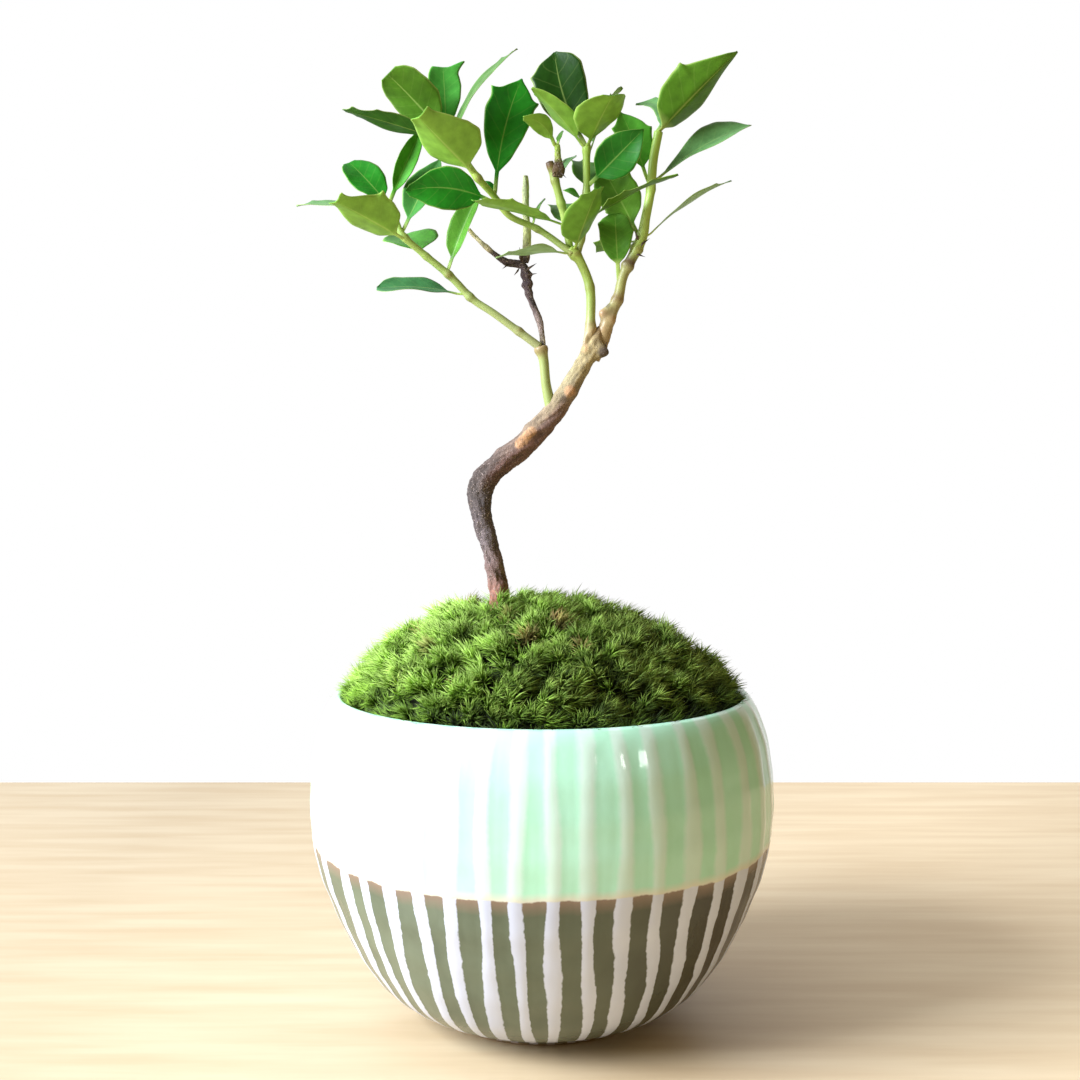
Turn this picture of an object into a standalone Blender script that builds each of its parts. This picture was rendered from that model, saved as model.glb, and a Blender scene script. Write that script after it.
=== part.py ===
"""A dwarf holly bonsai in a round, striped and glazed ceramic pot.

Everything is in metres, with +Z up and the origin under the middle of the pot's foot ring.
The tree leans and branches mostly in the XZ plane, and its front is towards -Y.
"""

from math import cos, pi, radians, sin

import bmesh
import bpy
from mathutils import Matrix, Vector

MM = 0.001
GAP = 0.3 * MM                 # air left between neighbouring solids

# Pot: a bowl whose shoulder turns in at the rim, thrown in one piece on a low foot ring.
POT_HEIGHT = 66.5 * MM
POT_WALL = 4.0 * MM
FOOT_RADIUS = 21.0 * MM
FOOT_RING_WIDTH = 4.0 * MM
FOOT_RING_HEIGHT = 2.0 * MM
FLOOR_TOP = 6.5 * MM
HOLE_RADIUS = 7.5 * MM
POT_STEPS = 48
# Outer side from the shoulder down to the foot, as (radius, height) in mm.
POT_SIDE = ((43.8, 63.5), (45.6, 59.5), (46.8, 54.5), (47.5, 46.0), (47.0, 37.0), (45.0, 29.0),
            (41.6, 20.5), (36.8, 12.5), (31.0, 6.0), (25.5, 3.0))
RIM_INSIDE = 40.6 * MM
INNER_CORNER_WIDTH = 4.0 * MM  # the inside wall curves into the floor in two short slopes
INNER_CORNER_HEIGHT = 1.5 * MM
INNER_FLOOR_SLOPE = 5.0 * MM
FOOT_FLARE = 0.6 * MM          # the foot ring narrows by this much towards the table
RIM_ROUND = 1.6 * MM           # the rim's edge is a half round of this radius

# Drain net: a square of plastic lattice laid over the drain hole.
NET_SIDE = 22.0 * MM
NET_CELLS = 5
NET_BAR = 1.2 * MM
NET_THICKNESS = 1.0 * MM

# Soil and moss: the soil is heaped under a mound of moss cushions that meet at the trunk.
SOIL_EDGE = 61.0 * MM
SOIL_CROWN = 71.0 * MM
# The heap's top, as (radius, how far below the crown) in mm.
SOIL_HEAP = ((0.0, 0.0), (12.0, 1.5), (27.0, 6.0))
SOIL_SHOULDER = 1.5 * MM       # the heap's edge slopes in from the pot's wall by this much
SOIL_STEPS = 32
MOSS_EDGE_RADIUS = 39.9 * MM
MOSS_EDGE_THICKNESS = 1.0 * MM
MOSS_UNDERCUT = 1.2 * MM       # the mound's lower edge tucks in by this much
MOSS_STEPS = 36
# Top of the moss mound from its middle to its edge, as (radius, height) in mm.
MOSS_TOP = ((0.0, 85.0), (10.0, 84.0), (19.0, 81.5), (27.0, 77.8), (33.0, 73.6), (37.0, 69.0),
            (39.0, 65.5), (39.9, 62.8))
SEAM = 0.4 * MM                # the crease between two cushions
# Bearing of each crease round the trunk, in degrees from +X towards the back.
CREASES = (12, 75, 138, 197, 255, 318)
CREASE_CENTRE = -8.3 * MM      # where the creases meet, on the X axis
WEDGE_SIZE = 120.0 * MM        # reach and height of the wedges that part the cushions

BARK = (0.26, 0.18, 0.11, 1.0)
DEAD_WOOD = (0.22, 0.15, 0.12, 1.0)
GREEN_STEM = (0.38, 0.50, 0.13, 1.0)
LEAF_GREEN = (0.07, 0.25, 0.04, 1.0)
LEAF_OLIVE = (0.27, 0.40, 0.08, 1.0)

# Joints: a stalk is moved out of the wood it grows from in small steps.
WALK_STEP = 0.05 * MM
WALK_LIMIT = 12.0 * MM
SHORTEST_SPAN = 0.4 * MM       # no span of a shortened stem is shorter than this

# Wood. Each route is a list of (x, y, z, radius) in mm, from where it grows out to its end.
TRUNK = ((-7.5, 0, 54, 2.2), (-7.6, 0, 62, 4.2), (-7.9, 0, 72, 3.0), (-8.6, 0, 86, 2.15),
         (-10.5, 0, 96, 2.05), (-12.3, 0, 104, 2.5), (-11.8, 0.3, 108.5, 2.8),
         (-8.4, 0.8, 113, 2.5), (-4.5, 1, 116.5, 2.4), (-1, 1, 120, 2.3), (2.7, 1, 124, 2.1),
         (5.2, 1, 127.8, 1.9), (7.4, 0.8, 131.5, 1.8), (9.5, 0.3, 135, 1.9), (10.5, 0, 137.3, 1.9))
BURIED_POINTS = 14             # this many of the route's points take the trunk out of the moss
# name: (stem it grows from, colour, route)
STEMS = {
    "left_branch": ("trunk", GREEN_STEM, (
        (2.3, 1, 123, 1.3), (0.9, 1, 129, 1.0), (0.4, 1, 134, 1.0), (-0.3, 1, 137, 1.25))),
    "left_twig": ("left_branch", GREEN_STEM, (
        (-0.5, 0.8, 137, 0.85), (-9.5, 0, 143.5, 0.75), (-14, 0, 146.5, 0.75),
        (-18.5, -1, 151, 0.75), (-24, -2, 155.5, 0.7), (-28, -2.8, 159, 0.7),
        (-29.6, -1.5, 162.6, 0.65), (-31, 0.3, 165.7, 0.6))),
    "dead_twig": ("left_branch", DEAD_WOOD, (
        (0.2, 1.6, 137, 0.7), (-0.4, 4, 142, 0.6), (-2.4, 5, 147.5, 0.6), (-3.3, 5, 151.5, 0.8),
        (-4, 5, 154, 0.9), (-7.2, 5, 154.6, 0.7), (-10.3, 5, 156.7, 0.6), (-13.8, 6, 160, 0.5),
        (-15.2, 6, 161.5, 0.45))),
    "dead_stick": ("dead_twig", DEAD_WOOD, (
        (-3.6, 5, 154.5, 0.8), (-3.1, 4.5, 158.5, 0.8), (-3.3, 4, 165, 0.72),
        (-3.5, 4, 172, 0.7))),
    "centre_stem": ("trunk", GREEN_STEM, (
        (9.3, -0.3, 137.8, 1.0), (9.9, 0, 143, 0.95), (9.7, 0, 149, 0.95), (7.8, 0, 154, 0.95),
        (5.7, 0, 156.6, 1.2))),
    "left_crown_twig": ("centre_stem", GREEN_STEM, (
        (6.2, -0.6, 155.6, 0.7), (-0.5, 0.5, 160.5, 0.65), (-6.5, -1.5, 163, 0.65),
        (-9.5, -3.5, 166.5, 0.65), (-13, -6.5, 170, 0.7), (-16.5, -6, 175, 0.6),
        (-19.5, -5, 178.5, 0.6))),
    "cut_shoot": ("centre_stem", GREEN_STEM, (
        (5.7, 1.0, 156.8, 0.75), (4.6, 0.7, 163, 0.8), (3, 0, 169, 0.8), (1.5, 0, 174, 0.75))),
    "knob_twig": ("cut_shoot", BARK, (
        (3.1, -2.0, 170.6, 1.0), (3.3, -2.1, 172, 1.1), (3.2, -2.1, 173.4, 0.6),
        (3, -2, 177, 0.55))),
    "crown_stem": ("centre_stem", GREEN_STEM, (
        (7.3, 0.5, 156.0, 0.7), (8.7, 1, 162, 0.7), (9, 0.6, 168, 0.7), (9, 0.4, 174, 0.75),
        (9, 0, 177.5, 0.8))),
    "right_stem": ("trunk", GREEN_STEM, (
        (12, 0.6, 137.6, 1.3), (13.8, 0.4, 143, 1.2), (15.5, 0, 147, 1.1), (16.6, 0, 151.5, 1.0),
        (20, 0, 158.4, 1.15), (21, 0, 163, 0.95), (22, 0, 168.5, 0.9), (22.5, 0, 174.5, 0.9),
        (23.5, 0, 180, 0.9))),
}

# Leaves: spine-toothed blades on short stalks, folded up along the midrib.
LEAF_THICKNESS = 0.5 * MM
STALK_HALF_WIDTH = 0.45 * MM
TIP_HALF_WIDTH = 0.25 * MM
# Outlines as (part of the length, part of the half width); 0 is the stalk's own half width.
OVAL = ((0.0, 0.0), (0.10, 0.0), (0.24, 0.66), (0.40, 0.96), (0.56, 1.0), (0.74, 0.82),
        (0.90, 0.45), (1.0, 0.0))
OBOVATE = ((0.0, 0.0), (0.14, 0.0), (0.28, 0.50), (0.46, 0.84), (0.66, 1.0), (0.83, 0.93),
           (0.94, 0.60), (1.0, 0.0))
BROAD = ((0.0, 0.0), (0.05, 0.0), (0.15, 0.75), (0.33, 1.0), (0.54, 0.95), (0.74, 0.70),
         (0.92, 0.40), (1.0, 0.0))
# name: (stem, how far along it, reach to the tip in mm, way the upper side looks, width,
#        fold, bend, outline)
# Fold is the edges' lift over the half width. Bend moves the midrib's middle, in mm, towards
# the leaf's right side and out of its upper side.
LEAVES = {
    "leaf_far_left_upright": (
        "left_crown_twig", 1.0, (-10.6, -4, 10.6), (0.3, 0.8, 0.5), 10.2, 0.25, (0, 0.6), OVAL),
    "leaf_left_top_glossy": (
        "left_crown_twig", 0.975, (0.3, 4, 15.2), (0.6, -0.8, 0.1), 8, 0.3, (0, 0.5), OBOVATE),
    "leaf_left_top_edge_on": (
        "left_crown_twig", 0.945, (15, -1.5, 16.5), (-0.75, 0.1, 0.65), 5, 0.1, (0, 2.8), OVAL),
    "leaf_left_long": (
        "left_crown_twig", 0.93, (-20.8, -5, 5.2), (0.17, 0.28, 0.95), 6.8, 0.1, (0, 0.3), OVAL),
    "leaf_left_front": (
        "left_crown_twig", 0.69, (-10.4, -11.2, 8.9), (0.1, 0.59, 0.8), 13, 0.55, (0, 0), BROAD),
    "leaf_big_glossy": (
        "left_crown_twig", 0.53, (5.5, 5, 24.3), (0.11, -0.98, 0.18), 10, 0.2, (-1.0, 0.4),
        OBOVATE),
    "leaf_left_dark": (
        "left_crown_twig", 0.49, (-18.1, -3.2, 1.5), (0.19, -0.96, -0.19), 8.6, 0.2, (1.5, 0.4),
        OVAL),
    "leaf_bud_dark": (
        "left_crown_twig", 0.50, (-3.3, 2.2, 4.2), (0.3, -0.6, 0.7), 3.2, 0.4, (0, 0.3), OVAL),
    "leaf_bud_behind": (
        "left_crown_twig", 0.24, (2.7, 4.5, 6.3), (-0.7, -0.3, 0.5), 2.6, 0.3, (0, 0.3), OVAL),
    "leaf_toothed_front": (
        "cut_shoot", 0.24, (-18.6, -12, 3.0), (0.06, 0.17, 0.98), 6.0, 0.15, (0, 0.4), OVAL),
    "leaf_low_left_front": (
        "left_twig", 0.77, (-13.2, -9, 6.4), (0, 0.58, 0.81), 10.4, 0.45, (0, 0.2), BROAD),
    "leaf_low_left_edge_on": (
        "left_twig", 0.90, (-17.8, 4, 3.5), (0.1, -0.1, 0.99), 5, 0.15, (0, 1.4), OVAL),
    "leaf_low_left_round": (
        "left_twig", 0.98, (-8.9, 5.3, 9.9), (0.13, -0.82, 0.56), 7.4, 0.25, (0, 0.4), OVAL),
    "leaf_low_left_upright": (
        "left_twig", 1.0, (6.7, 4, 16.2), (0.24, -0.96, 0.14), 4.0, 0.85, (-0.2, 0.3), OVAL),
    "leaf_low_left_inner": (
        "left_twig", 0.82, (7.3, 8.6, 16.6), (-0.23, -0.87, 0.43), 6.2, 0.45, (0, 0.3), OVAL),
    "leaf_low_left_back": (
        "left_twig", 0.67, (-6, 10, 5.6), (0, -0.45, 0.88), 12, 0.2, (0, 0.6), OVAL),
    "leaf_twig_folded": (
        "left_twig", 0.54, (6.6, 2.5, 16.6), (-0.5, -0.8, 0.2), 5.6, 0.7, (0, 0.4), OVAL),
    "leaf_lowest": (
        "left_twig", 0.40, (-19.5, -2, 1.6), (0, -0.5, 0.87), 8, 0.3, (0, 0.8), OVAL),
    "leaf_pale_below": (
        "centre_stem", 0.95, (-15.5, -7.2, -2.1), (-0.1, 0.12, 0.98), 6.6, 0.1, (0, 1.0), OVAL),
    "leaf_bright_front": (
        "centre_stem", 0.95, (4.5, -11.4, 10.7), (-0.53, 0.5, 0.69), 9.1, 0.45, (0, 0.2), BROAD),
    "leaf_behind_shoot": (
        "crown_stem", 0.12, (-4.5, 10.5, 8), (0, -0.6, 0.8), 8, 0.3, (0, 0.6), OVAL),
    "leaf_spiny_edge_on": (
        "crown_stem", 0.26, (17.6, -12.9, 6.7), (-0.36, 0.07, 0.93), 5.4, 0.15, (0, 0.8), OVAL),
    "leaf_crown_right_glossy": (
        "crown_stem", 0.58, (12.5, -6.5, 10.4), (-0.6, -0.78, 0.16), 8.5, 0.35, (0, 0.4), OVAL),
    "leaf_crown_tiny": (
        "crown_stem", 0.44, (-4.7, -2.2, 2.0), (0.4, -0.65, 0.65), 2.4, 0.3, (0, 0.5), OVAL),
    "leaf_crown_back": (
        "crown_stem", 0.53, (-0.6, 9.5, 8.5), (0.1, -0.6, 0.8), 5.4, 0.3, (0, 0.5), OVAL),
    "leaf_top_dark": (
        "crown_stem", 0.95, (-6.4, 4, 20.4), (-0.14, -0.98, 0.15), 10.4, 0.2, (-1.1, 0.5), OVAL),
    "leaf_top_olive": (
        "crown_stem", 0.95, (-11, -9, 10.0), (0.45, 0.41, 0.8), 6.4, 0.35, (0, 0.6), OVAL),
    "leaf_top_pale": (
        "crown_stem", 0.97, (4.6, -12, 7.3), (-0.32, 0.4, 0.86), 11, 0.35, (0, 0.3), BROAD),
    "leaf_top_edge_on": (
        "crown_stem", 0.88, (7.6, 8.5, 16), (-0.6, 0.1, 0.75), 8, 0.4, (0, 0.5), OVAL),
    "leaf_knob_olive": (
        "knob_twig", 0.95, (-6.7, -6, 4.5), (-0.33, 0.75, 0.57), 3.9, 0.4, (-1.2, 0.4), OVAL),
    "leaf_knob_tip": (
        "knob_twig", 1.0, (1.2, 2.4, 3.3), (-0.5, -0.5, 0.3), 1.6, 0.3, (0, 0.2), OVAL),
    "leaf_cut_shoot_thin": (
        "cut_shoot", 0.78, (4.4, 4.2, 5.8), (-0.6, -0.5, 0.5), 3.5, 0.4, (0, 0.3), OVAL),
    "leaf_right_long": (
        "right_stem", 0.27, (-1.0, -0.4, 15.6), (-0.11, -0.97, -0.05), 6.6, 0.2, (0, 0.4), OVAL),
    "leaf_right_back": (
        "right_stem", 0.50, (-7.8, 8.5, 16.6), (-0.29, -0.92, 0.25), 9.2, 0.25, (0, 0.4), OVAL),
    "leaf_right_curved": (
        "right_stem", 0.50, (18.6, 3, 12.4), (-0.58, 0.05, 0.81), 5.2, 0.12, (0, 1.1), OVAL),
    "leaf_right_behind": (
        "right_stem", 0.5, (-8.5, 13.5, -0.6), (0, 0.2, 1), 6, 0.3, (0, 0.4), OVAL),
    "leaf_right_glossy": (
        "right_stem", 0.77, (20.4, 3, 11.9), (-0.38, -0.64, 0.66), 8.2, 0.5, (-0.6, 0.9), OBOVATE),
    "leaf_right_inner": (
        "right_stem", 0.74, (-6, 4, 16.2), (0.2, -0.8, 0.5), 8, 0.3, (0, 0.5), OVAL),
    "leaf_top_right_big": (
        "right_stem", 1.0, (15.3, -3, 15.1), (-0.39, 0.74, 0.54), 10.6, 0.7, (0, 0.2), BROAD),
    "leaf_top_right_back": (
        "right_stem", 0.98, (-2.8, 9.5, 9), (0.43, -0.54, 0.73), 7.4, 0.35, (0, 0.4), OVAL),
}


def clear_scene():
    for old in list(bpy.data.objects):
        bpy.data.objects.remove(old, do_unlink=True)


def make_collection(name):
    collection = bpy.data.collections.new(name)
    bpy.context.scene.collection.children.link(collection)
    return collection


def make_material(name, colour, roughness, metallic=0.0):
    """A plain Principled material, or the one already made under this name."""
    material = bpy.data.materials.get(name)
    if material:
        return material
    material = bpy.data.materials.new(name)
    material.use_nodes = True
    shader = material.node_tree.nodes["Principled BSDF"]
    shader.inputs["Base Color"].default_value = colour
    shader.inputs["Roughness"].default_value = roughness
    shader.inputs["Metallic"].default_value = metallic
    material.diffuse_color = colour
    return material


def add_object(name, data, collection, material=None):
    obj = bpy.data.objects.new(name, data)
    collection.objects.link(obj)
    if material:
        data.materials.append(material)
    return obj


def hide_helper(obj):
    obj.hide_render = True
    obj.display_type = "WIRE"


def turn_profile(name, points, collection, material=None, closed=False, steps=POT_STEPS):
    """Turns (radius, height) points round Z. They run down the outer side, from top to bottom."""
    mesh = bpy.data.meshes.new(name)
    edges = [(i, i + 1) for i in range(len(points) - 1)]
    if closed:
        edges.append((len(points) - 1, 0))
    mesh.from_pydata([(radius, 0.0, height) for radius, height in points], edges, [])
    obj = add_object(name, mesh, collection, material)
    screw = obj.modifiers.new("turn", "SCREW")
    screw.steps = steps
    screw.render_steps = steps
    screw.use_merge_vertices = True
    screw.merge_threshold = 0.00001
    screw.use_smooth_shade = True
    return obj


def cut(obj, cutter, operation="DIFFERENCE"):
    boolean = obj.modifiers.new(operation.lower() + "_" + cutter.name, "BOOLEAN")
    boolean.operation = operation
    boolean.object = cutter


def arc(centre, radius, start, end, count):
    """Points on an arc in the (radius, height) plane, with angles in degrees."""
    angles = [radians(start + (end - start) * i / (count - 1)) for i in range(count)]
    return [(centre[0] + radius * cos(a), centre[1] + radius * sin(a)) for a in angles]


# ---------------------------------------------------------------- pot, net, soil and moss

def rim_centre():
    return RIM_INSIDE + RIM_ROUND, POT_HEIGHT - RIM_ROUND


def inner_side():
    """The pot's inside, from the rim down to the floor: the outer side moved in by the wall."""
    points = [(r * MM - POT_WALL, z * MM) for r, z in POT_SIDE[1:-2]]
    corner = points[-1][0] - INNER_CORNER_WIDTH
    return points + [(corner, FLOOR_TOP + INNER_CORNER_HEIGHT),
                     (corner - INNER_FLOOR_SLOPE, FLOOR_TOP)]


def build_pot(collection):
    side = [(r * MM, z * MM) for r, z in POT_SIDE]
    foot_top = FOOT_RING_HEIGHT
    foot_inner = FOOT_RADIUS - FOOT_RING_WIDTH
    foot = [(FOOT_RADIUS + FOOT_FLARE, foot_top), (FOOT_RADIUS, 0.0), (foot_inner, 0.0),
            (foot_inner - FOOT_FLARE, foot_top)]
    hole = [(HOLE_RADIUS, foot_top), (HOLE_RADIUS, FLOOR_TOP)]
    rim = arc(rim_centre(), RIM_ROUND, 180, 20, 5)
    points = rim + side + foot + hole + list(reversed(inner_side()))
    clay = make_material("striped_ceramic", (0.32, 0.42, 0.24, 1.0), 0.2)
    return turn_profile("pot", points, collection, clay, closed=True)


def build_drain_net(collection):
    """A lattice: a grid of cells whose faces are inset and removed, then given its thickness."""
    mesh = bpy.data.meshes.new("drain_net")
    work = bmesh.new()
    bmesh.ops.create_grid(work, x_segments=NET_CELLS, y_segments=NET_CELLS, size=NET_SIDE / 2)
    inset = bmesh.ops.inset_individual(work, faces=work.faces[:], thickness=NET_BAR / 2)
    rings = set(inset["faces"])
    cells = [face for face in work.faces if face not in rings]
    bmesh.ops.delete(work, geom=cells, context="FACES_ONLY")
    work.to_mesh(mesh)
    work.free()
    plastic = make_material("net_plastic", (0.05, 0.05, 0.05, 1.0), 0.5)
    net = add_object("drain_net", mesh, collection, plastic)
    net.location.z = FLOOR_TOP + GAP
    solidify = net.modifiers.new("thickness", "SOLIDIFY")
    solidify.thickness = NET_THICKNESS
    solidify.offset = 1.0
    return net


def build_soil(collection, net_cutter, trunk_cutter):
    """The root ball, a gap inside the pot, hollowed over the drain net and round the trunk."""
    inside = [(r - GAP, z + GAP * 0.5) for r, z in inner_side() if z < SOIL_EDGE]
    inside[-1] = (inside[-1][0], FLOOR_TOP + GAP)
    inside[-2] = (inside[-2][0], inside[-2][1] + GAP * 0.5)
    edge = (inside[0][0] - SOIL_SHOULDER, SOIL_EDGE)
    heap = [(r * MM, SOIL_CROWN - drop * MM) for r, drop in SOIL_HEAP]
    soil_material = make_material("potting_soil", (0.10, 0.06, 0.04, 1.0), 0.95)
    points = heap + [edge] + inside + [(0.0, FLOOR_TOP + GAP)]
    soil = turn_profile("potting_soil", points, collection, soil_material,
                        steps=SOIL_STEPS)
    cut(soil, net_cutter)
    cut(soil, trunk_cutter)
    return soil


def build_moss(collection, cutters, trunk_cutter):
    """One turned mound, shared out among the cushions by wedges that meet at the trunk."""
    top = [(r * MM, z * MM) for r, z in MOSS_TOP]
    under = [(MOSS_EDGE_RADIUS - MOSS_UNDERCUT, SOIL_EDGE + MOSS_EDGE_THICKNESS)]
    under += [(r * MM, SOIL_CROWN - drop * MM + 2 * GAP) for r, drop in reversed(SOIL_HEAP)]
    moss = make_material("moss", (0.22, 0.33, 0.05, 1.0), 0.95)
    for index, start in enumerate(CREASES):
        end = CREASES[(index + 1) % len(CREASES)] + (360 if index == len(CREASES) - 1 else 0)
        middle = radians((start + end) / 2)
        half = radians((end - start) / 2)
        # Moving the wedge's point outwards by this much leaves half a seam on each side.
        step_out = SEAM / 2 / sin(half)
        point = Vector((CREASE_CENTRE + step_out * cos(middle), step_out * sin(middle), 0.0))
        corners = [point] + [
            point + WEDGE_SIZE * Vector((cos(radians(a)), sin(radians(a)), 0.0))
            for a in (start, (start + end) / 2, end)]
        work = bmesh.new()
        wedge_face = work.faces.new([work.verts.new(c) for c in corners])
        made = bmesh.ops.extrude_face_region(work, geom=[wedge_face])
        lifted = [v for v in made["geom"] if isinstance(v, bmesh.types.BMVert)]
        bmesh.ops.translate(work, verts=lifted, vec=(0, 0, WEDGE_SIZE))
        bmesh.ops.recalc_face_normals(work, faces=work.faces[:])
        mesh = bpy.data.meshes.new("wedge")
        work.to_mesh(mesh)
        work.free()
        wedge = add_object(f"wedge_{index + 1}", mesh, cutters)
        hide_helper(wedge)
        cushion = turn_profile(f"moss_cushion_{index + 1}", top + under, collection, moss,
                               steps=MOSS_STEPS)
        cut(cushion, wedge, "INTERSECT")
        cut(cushion, trunk_cutter)


# ---------------------------------------------------------------- wood

def smooth_route(points, per_span=2):
    """A Catmull-Rom curve through (x, y, z, radius) points, returned in metres."""
    points = [[value * MM for value in point] for point in points]
    padded = [points[0]] + points + [points[-1]]
    route = []
    for i in range(len(points) - 1):
        p0, p1, p2, p3 = padded[i:i + 4]
        for j in range(per_span):
            t = j / per_span
            route.append([
                0.5 * (2 * b + (c - a) * t + (2 * a - 5 * b + 4 * c - d) * t * t
                       + (3 * b - a - 3 * c + d) * t ** 3)
                for a, b, c, d in zip(p0, p1, p2, p3)])
    route.append(points[-1])
    return route


def distance_to_wood(point, route):
    """Distance from a point to the surface of a tapered tube with flat ends."""
    best = 1.0
    last = len(route) - 2
    for i in range(last + 1):
        start, end = Vector(route[i][:3]), Vector(route[i + 1][:3])
        along = end - start
        length = along.length
        along = along / length
        axial = (point - start).dot(along)
        share = min(max(axial / length, 0.0), 1.0)
        radius = route[i][3] * (1 - share) + route[i + 1][3] * share
        radial = ((point - start) - along * axial).length
        past_end = max(-axial, axial - length, 0.0)
        beyond_side = max(radial - radius, 0.0)
        at_bend = (point - start).length - route[i][3] if i else 1.0
        best = min(best, (past_end ** 2 + beyond_side ** 2) ** 0.5, at_bend)
    return best


def step_clear(start, direction, half_width, route):
    """Walks from inside the wood until a stalk this wide, square to the walk, is a gap away."""
    direction = direction.normalized()
    side = direction.orthogonal().normalized()
    other = direction.cross(side)
    walked = 0.0
    while walked < WALK_LIMIT:
        centre = start + direction * walked
        ring = [centre + half_width * (side * cos(k * pi / 4) + other * sin(k * pi / 4))
                for k in range(8)]
        if min(distance_to_wood(p, route) for p in ring + [centre]) >= GAP:
            return walked
        walked += WALK_STEP
    return walked


def build_tube(name, route, collection, material, sides=2, grow=0.0):
    """A tapered round tube along the route, or one that is fatter by `grow` for cutting."""
    curve = bpy.data.curves.new(name, "CURVE")
    curve.dimensions = "3D"
    curve.bevel_depth = 1.0
    curve.bevel_resolution = sides
    curve.use_fill_caps = True
    spline = curve.splines.new("POLY")
    spline.points.add(len(route) - 1)
    for point, (x, y, z, radius) in zip(spline.points, route):
        point.co = (x, y, z, 1.0)
        point.radius = radius + grow
    spline.use_smooth = True
    return add_object(name, curve, collection, material)


def mesh_from_curve(obj, collection):
    """Makes the tube a closed mesh, so that it can cut other pieces."""
    bpy.context.view_layer.update()
    graph = bpy.context.evaluated_depsgraph_get()
    mesh = bpy.data.meshes.new_from_object(obj.evaluated_get(graph))
    work = bmesh.new()
    work.from_mesh(mesh)
    bmesh.ops.remove_doubles(work, verts=work.verts[:], dist=0.00001)
    bmesh.ops.recalc_face_normals(work, faces=work.faces[:])
    work.to_mesh(mesh)
    work.free()
    made = add_object(obj.name + "_mesh", mesh, collection)
    made.matrix_world = obj.matrix_world
    bpy.data.objects.remove(obj, do_unlink=True)
    return made


def build_trunk_cutter(route, cutters):
    """The trunk with a gap all round and under its buried end."""
    longer = [list(route[0])] + route
    longer[0][2] -= 2 * GAP
    tube = build_tube("trunk_space", longer[:BURIED_POINTS], cutters, None, sides=3, grow=1.5 * GAP)
    cutter = mesh_from_curve(tube, cutters)
    hide_helper(cutter)
    return cutter


def build_stems(collection, routes):
    for name, (parent, colour, points) in STEMS.items():
        route = smooth_route(points)
        first, second = Vector(route[0][:3]), Vector(route[1][:3])
        walked = step_clear(first, second - first, route[0][3], routes[parent])
        start = first + (second - first).normalized() * walked
        # Points that the shortened stem no longer reaches are dropped.
        axis = (second - first).normalized()
        kept = [p for p in route[1:] if (Vector(p[:3]) - start).dot(axis) > SHORTEST_SPAN]
        route = [[*start, route[0][3]]] + kept
        routes[name] = route
        wood = make_material("dead_wood" if colour is DEAD_WOOD else
                             "stem_bark" if colour is BARK else "green_stem", colour, 0.7)
        build_tube(name, route, collection, wood)


# ---------------------------------------------------------------- leaves

def point_along(route, share):
    """The point at this share of the route's length."""
    lengths = [(Vector(b[:3]) - Vector(a[:3])).length for a, b in zip(route, route[1:])]
    left = share * sum(lengths)
    for start, end, length in zip(route, route[1:], lengths):
        if left <= length:
            return Vector(start[:3]).lerp(Vector(end[:3]), left / length)
        left -= length
    return Vector(route[-1][:3])


def leaf_mesh(name, length, width, fold, bend, outline):
    """A blade in its own frame: +Y from stalk to tip, +X to its right, +Z out of the upper side."""
    rows = len(outline) - 1
    work = bmesh.new()
    bmesh.ops.create_grid(work, x_segments=2, y_segments=rows, size=1.0)
    for vert in work.verts:
        row = round((vert.co.y + 1) / 2 * rows)
        across = round(vert.co.x)
        along, share = outline[row]
        half = max(share * width / 2, STALK_HALF_WIDTH)
        if row == rows:
            half = TIP_HALF_WIDTH
        lift = fold * max(half - STALK_HALF_WIDTH, 0.0) * abs(across)
        # The bend is a parabola: nothing at both ends and all of it halfway.
        bulge = 4 * along * (1 - along)
        vert.co = (across * half + bend[0] * bulge, along * length, lift + bend[1] * bulge)
    mesh = bpy.data.meshes.new(name)
    work.to_mesh(mesh)
    work.free()
    return mesh


def build_leaves(collection, routes):
    for name, (stem, share, reach, faces, width, fold, bend, outline) in LEAVES.items():
        route = routes[stem]
        joint = point_along(route, share)
        reach = Vector(reach) * MM
        start = step_clear(joint, reach, STALK_HALF_WIDTH, route)
        forward = reach.normalized()
        up = (Vector(faces) - Vector(faces).dot(forward) * forward).normalized()
        side = forward.cross(up)
        bend = (bend[0] * MM, bend[1] * MM)
        mesh = leaf_mesh(name, reach.length - start, width * MM, fold, bend, outline)
        # A leaf whose upper side looks back shows its paler underside at the front.
        pale = up.y > 0
        blade = make_material("leaf_underside" if pale else "leaf_upper",
                              LEAF_OLIVE if pale else LEAF_GREEN, 0.4)
        leaf = add_object(name, mesh, collection, blade)
        frame = Matrix((side, forward, up)).transposed().to_4x4()
        frame.translation = joint + forward * start
        leaf.matrix_world = frame
        solidify = leaf.modifiers.new("thickness", "SOLIDIFY")
        solidify.thickness = LEAF_THICKNESS
        solidify.offset = 0.0


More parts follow.
